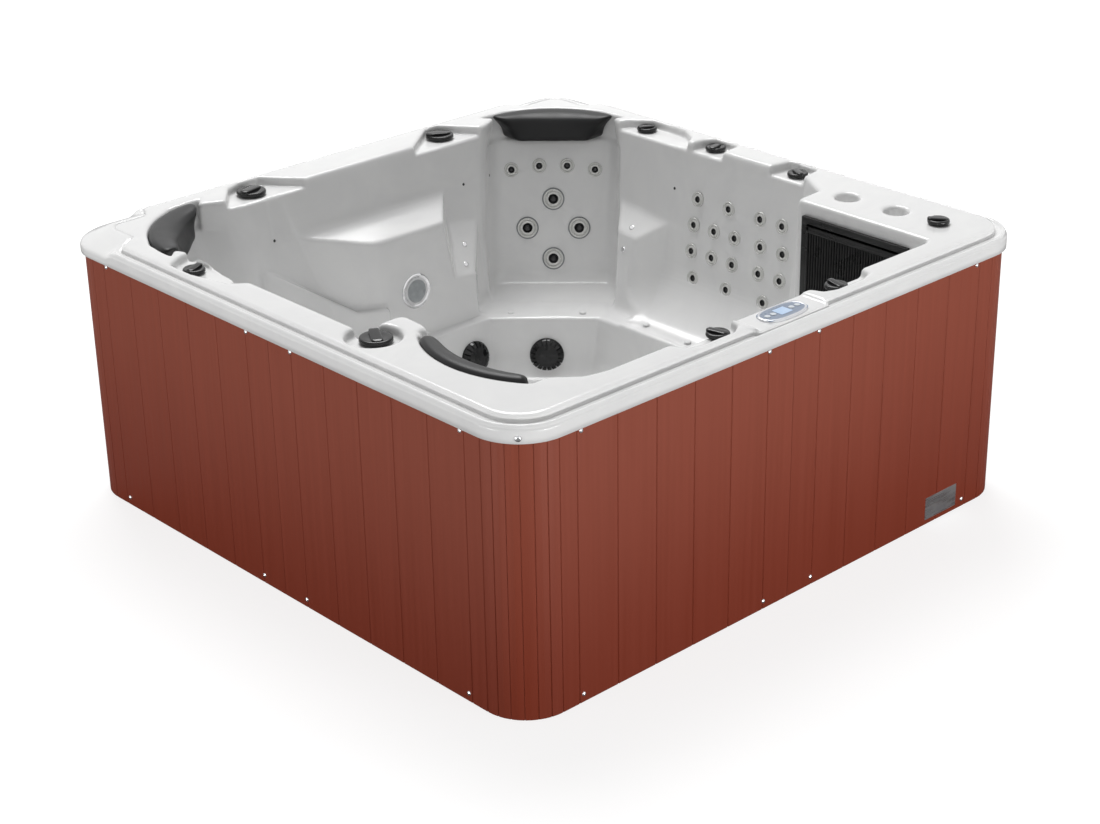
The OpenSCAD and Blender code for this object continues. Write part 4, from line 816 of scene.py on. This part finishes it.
for name, x, heading in (("back", REST_CENTRE, 45), ("left", -REST_CENTRE, 135)):
    headrest(name, CORNER_PAD, (x, REST_CENTRE), heading, REST_R, REST_WIDEN, 146, 112, 56, 1.0, 5)
headrest("front", FRONT_PAD, FRONT_REST, 180, FRONT_REST_R, 0, 108, 84, 36, 0.2, 4)

# knobs
KNOB_RIBS, KNOB_LIFT = 28, 3.4
DIVERTER_R, AIR_R = 48, 34


def knob(r):
    """A ribbed disc with a raised handle across it."""
    h = 10 + 0.09 * r
    disc = lathe([(0, 0), (r - 2, 0), (r - 0.6, 0.8), (r, 3), (r, h - 4.5), (r - 0.7, h - 2), (r - 2.4, h - 0.5),
                  (r - 5, h), (r * 0.6, h - 1.6), (r * 0.3, h - 2.2), (0, h - 2.2)], 64)
    rings = []
    for t in np.linspace(0, 1, 15):
        x = r * (-0.84 + 1.86 * t)
        end = math.sqrt(max(0.02, 1 - abs(2 * t - 1) ** 9))
        w = r * (0.36 - 0.05 * t) * (0.25 + 0.75 * end)
        top = h + (0.4 + (0.06 + 0.11 * t) * r) * (0.5 + 0.5 * end)
        rings.append([(x, -w, h - 4), (x, -w, top - 1.8), (x, -w * 0.9, top - 0.5), (x, -w * 0.6, top),
                      (x, w * 0.6, top), (x, w * 0.9, top - 0.5), (x, w, top - 1.8), (x, w, h - 4)])
    ribs = []
    sides = np.linspace(0, 2 * math.pi, 6, endpoint=False)
    for k in range(KNOB_RIBS):
        a = 2 * math.pi * k / KNOB_RIBS
        some, more = swept([[(r - 1 + 1.6 * s * math.cos(b), 1.1 * math.sin(b), z) for b in sides]
                            for z, s in ((2, 0.3), (3.5, 1), (h - 5, 1), (h - 3.5, 0.3))])
        some = [(x * math.cos(a) - y * math.sin(a), x * math.sin(a) + y * math.cos(a), z) for x, y, z in some]
        ribs.append((some, more))
    return joined([disc, swept(rings), *ribs])


HEADINGS = {"a": 200, "b": 160, "c": 60, "d": 20, "e": 160, "f": 200, "g": 240, "h": 135, "i": 110, "j": 80}
for letter, place in KNOBS.items():
    node = ("diverter_knob_" if letter in "abc" else "air_knob_") + letter
    points, faces = knob(DIVERTER_R if letter in "abc" else AIR_R)
    a = math.radians(HEADINGS[letter])
    points = np.array(points)
    turned = np.stack([points[:, 0] * math.cos(a) - points[:, 1] * math.sin(a),
                       points[:, 0] * math.sin(a) + points[:, 1] * math.cos(a), points[:, 2] + KNOB_LIFT], axis=1)
    made = new_object("grip_" + letter, mesh_of("grip", (turned + np.array(place)) * MM, faces, False), node,
                      "black_gloss", FINISH["black_gloss"], node)
    finished(made, ("BEVEL", {"width": 0.0006, "segments": 2, "angle_limit": math.radians(35)}))
    made.data.shade_smooth()

# jets
SMALL_RING = [(26, 0), (26, 2.2), (25.4, 3.8), (24, 4.8), (22.4, 4.4), (21.2, 2.6), (20.4, 0.8), (19.4, 0.6),
              (18.6, 2.4), (17.4, 4), (15.4, 4.8), (13.2, 4.8), (11.6, 3.6), (10.8, 0), (10.8, -14)]
SMALL_CUP = [(10.8, 2.2), (9.8, 1.2), (8.6, -3), (7.4, -6), (0, -7)]
LARGE_RING = [(36, 2.4), (36, 4.6), (35.2, 6.6), (33.4, 7.6), (31, 7.2), (29.4, 5), (28.4, 2.6), (27, 2.4), (26, 4.4),
              (24.4, 6.4), (21.6, 7.4), (19, 7), (17.4, 5), (17, 2), (17, -14)]
LARGE_CUP = [(17, 4), (15.6, 2.8), (13.6, -3), (11.4, -8), (0, -9)]
for name, line, finish in (("small_jet_rings", SMALL_RING, "jet_trim"), ("small_jet_cups", SMALL_CUP, "nozzle")):
    parts = []
    for place, axis in SMALL_JETS:
        points, faces = lathe(line, 40)
        parts.append((placed(points, place, axis), faces))
    points, faces = joined(parts)
    made = new_object(name, mesh_of(name, np.array(points) * MM, faces), "tub",
                      "chrome_trim" if finish == "jet_trim" else "black_matt", FINISH[finish], "small_jets")
parts = []
for place, axis in SMALL_JETS:
    points, faces = lathe([(0, -9), (22, -9), (22, -12), (18, -15), (18, -50), (0, -50)], 24)
    parts.append((placed(points, place, axis), faces))
points, faces = joined(parts)
new_object("small_jet_sockets", mesh_of("small_jet_sockets", np.array(points) * MM, faces), "tub", "grey_plastic",
           FINISH["grey_plastic"], "small_jet_bodies")
for k, (place, axis, radius) in enumerate(BORES[:4]):
    node = "large_jet_%d" % (k + 1)
    points, faces = lathe(LARGE_RING, 56)
    parts = [(placed(points, place, axis), faces)]
    for spin in (0, 120, 240):
        rib = swept([[(r, w * s, 5 + h) for w, h in ((-2.2, 0), (-1.4, 1.8), (1.4, 1.8), (2.2, 0), (0, -1))]
                     for r, s in ((23, 0.6), (25, 1), (28, 1), (30, 0.6))])
        parts.append((placed(rib[0], place, axis, spin), rib[1]))
    points, faces = joined(parts)
    new_object("jet_face_%d" % (k + 1), mesh_of("jet_face", np.array(points) * MM, faces), node, "chrome_trim",
               FINISH["jet_trim"], node)
    points, faces = lathe(LARGE_CUP, 40)
    new_object("jet_cup_%d" % (k + 1), mesh_of("jet_cup", placed(points, place, axis) * MM, faces), node,
               "black_matt", FINISH["nozzle"], node)

# control panel: a rounded silver frame round the face
low, high = (np.array(c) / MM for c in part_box("panel_bezel"))
mid, half = (low + high) / 2, (high - low) / 2


def panel_oval(inset, z):
    ring = []
    for b in np.linspace(0, 2 * math.pi, 96, endpoint=False):
        cx, cy = math.cos(b), math.sin(b)
        ring.append((mid[0] + (half[0] - inset) * math.copysign(abs(cx) ** 0.72, cx),
                     mid[1] + (half[1] - inset) * math.copysign(abs(cy) ** 0.86, cy), z))
    return ring


top = high[2] + 1.5
FRAME_LINE = [(0, low[2] + 1), (0, low[2] + 4), (1, top - 2.5), (3, top - 0.6), (6, top), (9, top - 0.4),
              (11, top - 2), (11.6, top - 4.5), (11.6, low[2] + 1)]
points, faces = swept([panel_oval(i, z) for i, z in FRAME_LINE], closed_path=True)
new_object("panel_frame", mesh_of("panel_frame", np.array(points) * MM, faces), "tub", "chrome_trim",
           FINISH["panel_silver"], "panel_bezel")

# filter grille: frame with a raised inner border and fine rounded ribs
GRILLE = np.array(frame["nodes"]["filter_grille"].bound_box) / MM
gx0, gy0, gz0 = GRILLE.min(axis=0)
gx1, gy1, gz1 = GRILLE.max(axis=0)


def block(x0, x1, y0, y1, z0, z1):
    return ([(x, y, z) for x in (x0, x1) for y in (y0, y1) for z in (z0, z1)],
            [(0, 1, 3, 2), (4, 6, 7, 5), (0, 4, 5, 1), (2, 3, 7, 6), (0, 2, 6, 4), (1, 5, 7, 3)])


def border(x0, x1, side, top, thick):
    """Four bars round the grille's face, inset by side and top."""
    y0, y1, z0, z1 = gy0 + side, gy1 - side, gz0 + side, gz1 - top
    return [block(x0, x1, y0, y1, z0, z0 + thick), block(x0, x1, y0, y1, z1 - thick, z1),
            block(x0, x1, y0, y0 + thick, z0 + thick, z1 - thick),
            block(x0, x1, y1 - thick, y1, z0 + thick, z1 - thick)]


parts = border(gx0 + 2, gx1, 0, 0, 30) + [block(gx0 + 2, gx1, gy0 + 20, gy1 - 20, gz1 - 50, gz1 - 20)]
parts += border(gx0 + 0.2, gx0 + 6, 22, 42, 7)
parts.append(block(gx1 - 3, gx1 - 1, gy0 + 10, gy1 - 10, gz0 + 10, gz1 - 10))
RIBS = 34
rib_pitch = (gy1 - gy0 - 62) / RIBS
for k in range(RIBS):
    y = gy0 + 31 + (k + 0.5) * rib_pitch
    ring = [(gx1 - 4 - (gx1 - gx0 - 5) * math.sin(b), y - rib_pitch * 0.4 * math.cos(b))
            for b in np.linspace(0, math.pi, 9)]
    parts.append(swept([[(px, py, z) for px, py in ring] for z in (gz0 + 28, gz1 - 48)]))
points, faces = joined(parts)
made = new_object("grille_face", mesh_of("grille_face", np.array(points) * MM, faces, False), "filter_grille",
                  "black_matt", FINISH["black_matt"], "filter_grille")
finished(made, ("BEVEL", {"width": 0.0009, "segments": 2, "angle_limit": math.radians(50)}))
made.data.shade_smooth()


# small fittings set on the shell's surface
def on_shell(place, towards):
    found, place, normal, _ = lining.ray_cast(Vector(place) * MM, Vector(towards).normalized())
    return (np.array(place) / MM, np.array(normal)) if found else None


def fitting(name, line, finish, slot, places, stretch=(1, 1)):
    parts = []
    for place, towards in places:
        seat = on_shell(place, towards)
        if seat:
            points, faces = lathe(line, 32)
            points = np.array(points) * (stretch[0], stretch[1], 1)
            parts.append((placed(points, seat[0], seat[1]), faces))
    points, faces = joined(parts)
    return new_object(name, mesh_of(name, np.array(points) * MM, faces), "tub", slot, FINISH[finish])


BUTTON = [(9.5, -1), (9.5, 1.2), (8.6, 2.6), (6, 3.4), (3.4, 3.0), (0, 2.8)]
fitting("divider_buttons", BUTTON, "chrome_trim", "chrome_trim",
        [((357, 731, 565), (-0.055, 0.8, -0.6)), ((325, 689, 512), (-0.055, 0.8, -0.6))])
fitting("armrest_buttons", BUTTON, "chrome_trim", "chrome_trim",
        [((76, -327, 950), (0.662, 0.665, -0.345)),
         ((-75, -444, 950), (0.657, 0.666, -0.354))])
fitting("slim_lens", [(13, -1), (13, 1), (11.5, 2.2), (9.5, 1.4), (0, 1.2)], "chrome_trim", "chrome_trim",
        [((462, 646, 398), (-0.68, 0.73, 0))], (1.5, 2.0))
fitting("shell_points", [(5, -1), (5, 0.4), (0, 0.6)], "nozzle", "black_matt",
        [((800, 285, 721), (1, 0, 0)), ((419, 760, 716), (0, 1, 0)), ((-398, 740, 723), (0, 1, 0)),
         ((560, 880, 688), (0.7, 0.7, 0))])

# light, floor and background
world = bpy.data.worlds.new("studio")
bpy.context.scene.world = world
world.use_nodes = True
tree = world.node_tree
path = tree.nodes.new("ShaderNodeLightPath")
seen = tree.nodes.new("ShaderNodeMath")
seen.operation = "MAXIMUM"
tree.links.new(path.outputs["Is Camera Ray"], seen.inputs[0])
tree.links.new(path.outputs["Is Transmission Ray"], seen.inputs[1])
seen_too = tree.nodes.new("ShaderNodeMath")
seen_too.operation = "MAXIMUM"
tree.links.new(seen.outputs[0], seen_too.inputs[0])
tree.links.new(path.outputs["Is Glossy Ray"], seen_too.inputs[1])
level = tree.nodes.new("ShaderNodeMapRange")
AMBIENT = 0.28
level.inputs["To Min"].default_value = AMBIENT
level.inputs["To Max"].default_value = 1.0
tree.links.new(seen_too.outputs[0], level.inputs["Value"])
tree.links.new(level.outputs["Result"], tree.nodes["Background"].inputs["Strength"])
tree.nodes["Background"].inputs["Color"].default_value = (1, 1, 1, 1)


def panel_lamp(name, place, aim, width, height, energy):
    data = bpy.data.lights.new(name, "AREA")
    data.shape = "RECTANGLE"
    data.energy, data.size, data.size_y = energy, width, height
    lamp = bpy.data.objects.new(name, data)
    bpy.context.scene.collection.objects.link(lamp)
    lamp.location = place
    lamp.rotation_euler = (Vector(aim) - Vector(place)).to_track_quat("-Z", "Y").to_euler()


panel_lamp("overhead softbox", (2.6, 4.0, 9.5), (0, 0, 0.6), 6.0, 6.0, 980)
panel_lamp("front softbox", (0.3, -6.5, 0.55), (0, 0, 0.55), 4.0, 0.6, 228)
panel_lamp("left softbox", (-6.5, 0.2, 0.55), (0, 0, 0.55), 4.0, 0.6, 165)

bpy.ops.mesh.primitive_plane_add(size=60, location=(0, 0, -0.0005))
ground = bpy.context.object
ground.name = "studio_floor"
floor_finish = bpy.data.materials.new("studio floor")
FLOOR_GREY = 0.28
FADE_FROM, FADE_TO, GLOW_NEAR = 1.6, 4.5, 0.8
floor_finish.use_nodes = True
shader = floor_finish.node_tree.nodes["Principled BSDF"]
nodes, links = floor_finish.node_tree.nodes, floor_finish.node_tree.links
seen_floor = nodes.new("ShaderNodeLightPath")
place = nodes.new("ShaderNodeTexCoord")
far = nodes.new("ShaderNodeVectorMath")
far.operation = "LENGTH"
fade = nodes.new("ShaderNodeMapRange")
fade.inputs["From Min"].default_value, fade.inputs["From Max"].default_value = FADE_FROM, FADE_TO
fade.inputs["To Min"].default_value, fade.inputs["To Max"].default_value = GLOW_NEAR, 1.0
glow = nodes.new("ShaderNodeMath")
glow.operation = "MULTIPLY"
links.new(place.outputs["Object"], far.inputs[0])
links.new(far.outputs["Value"], fade.inputs["Value"])
links.new(fade.outputs["Result"], glow.inputs[0])
links.new(seen_floor.outputs["Is Camera Ray"], glow.inputs[1])
links.new(glow.outputs[0], shader.inputs["Emission Strength"])
shader.inputs["Base Color"].default_value = (*[FLOOR_GREY] * 3, 1)
shader.inputs["Roughness"].default_value = 0.9
shader.inputs["Specular IOR Level"].default_value = 0
shader.inputs["Emission Color"].default_value = (1, 1, 1, 1)
ground.data.materials.append(floor_finish)
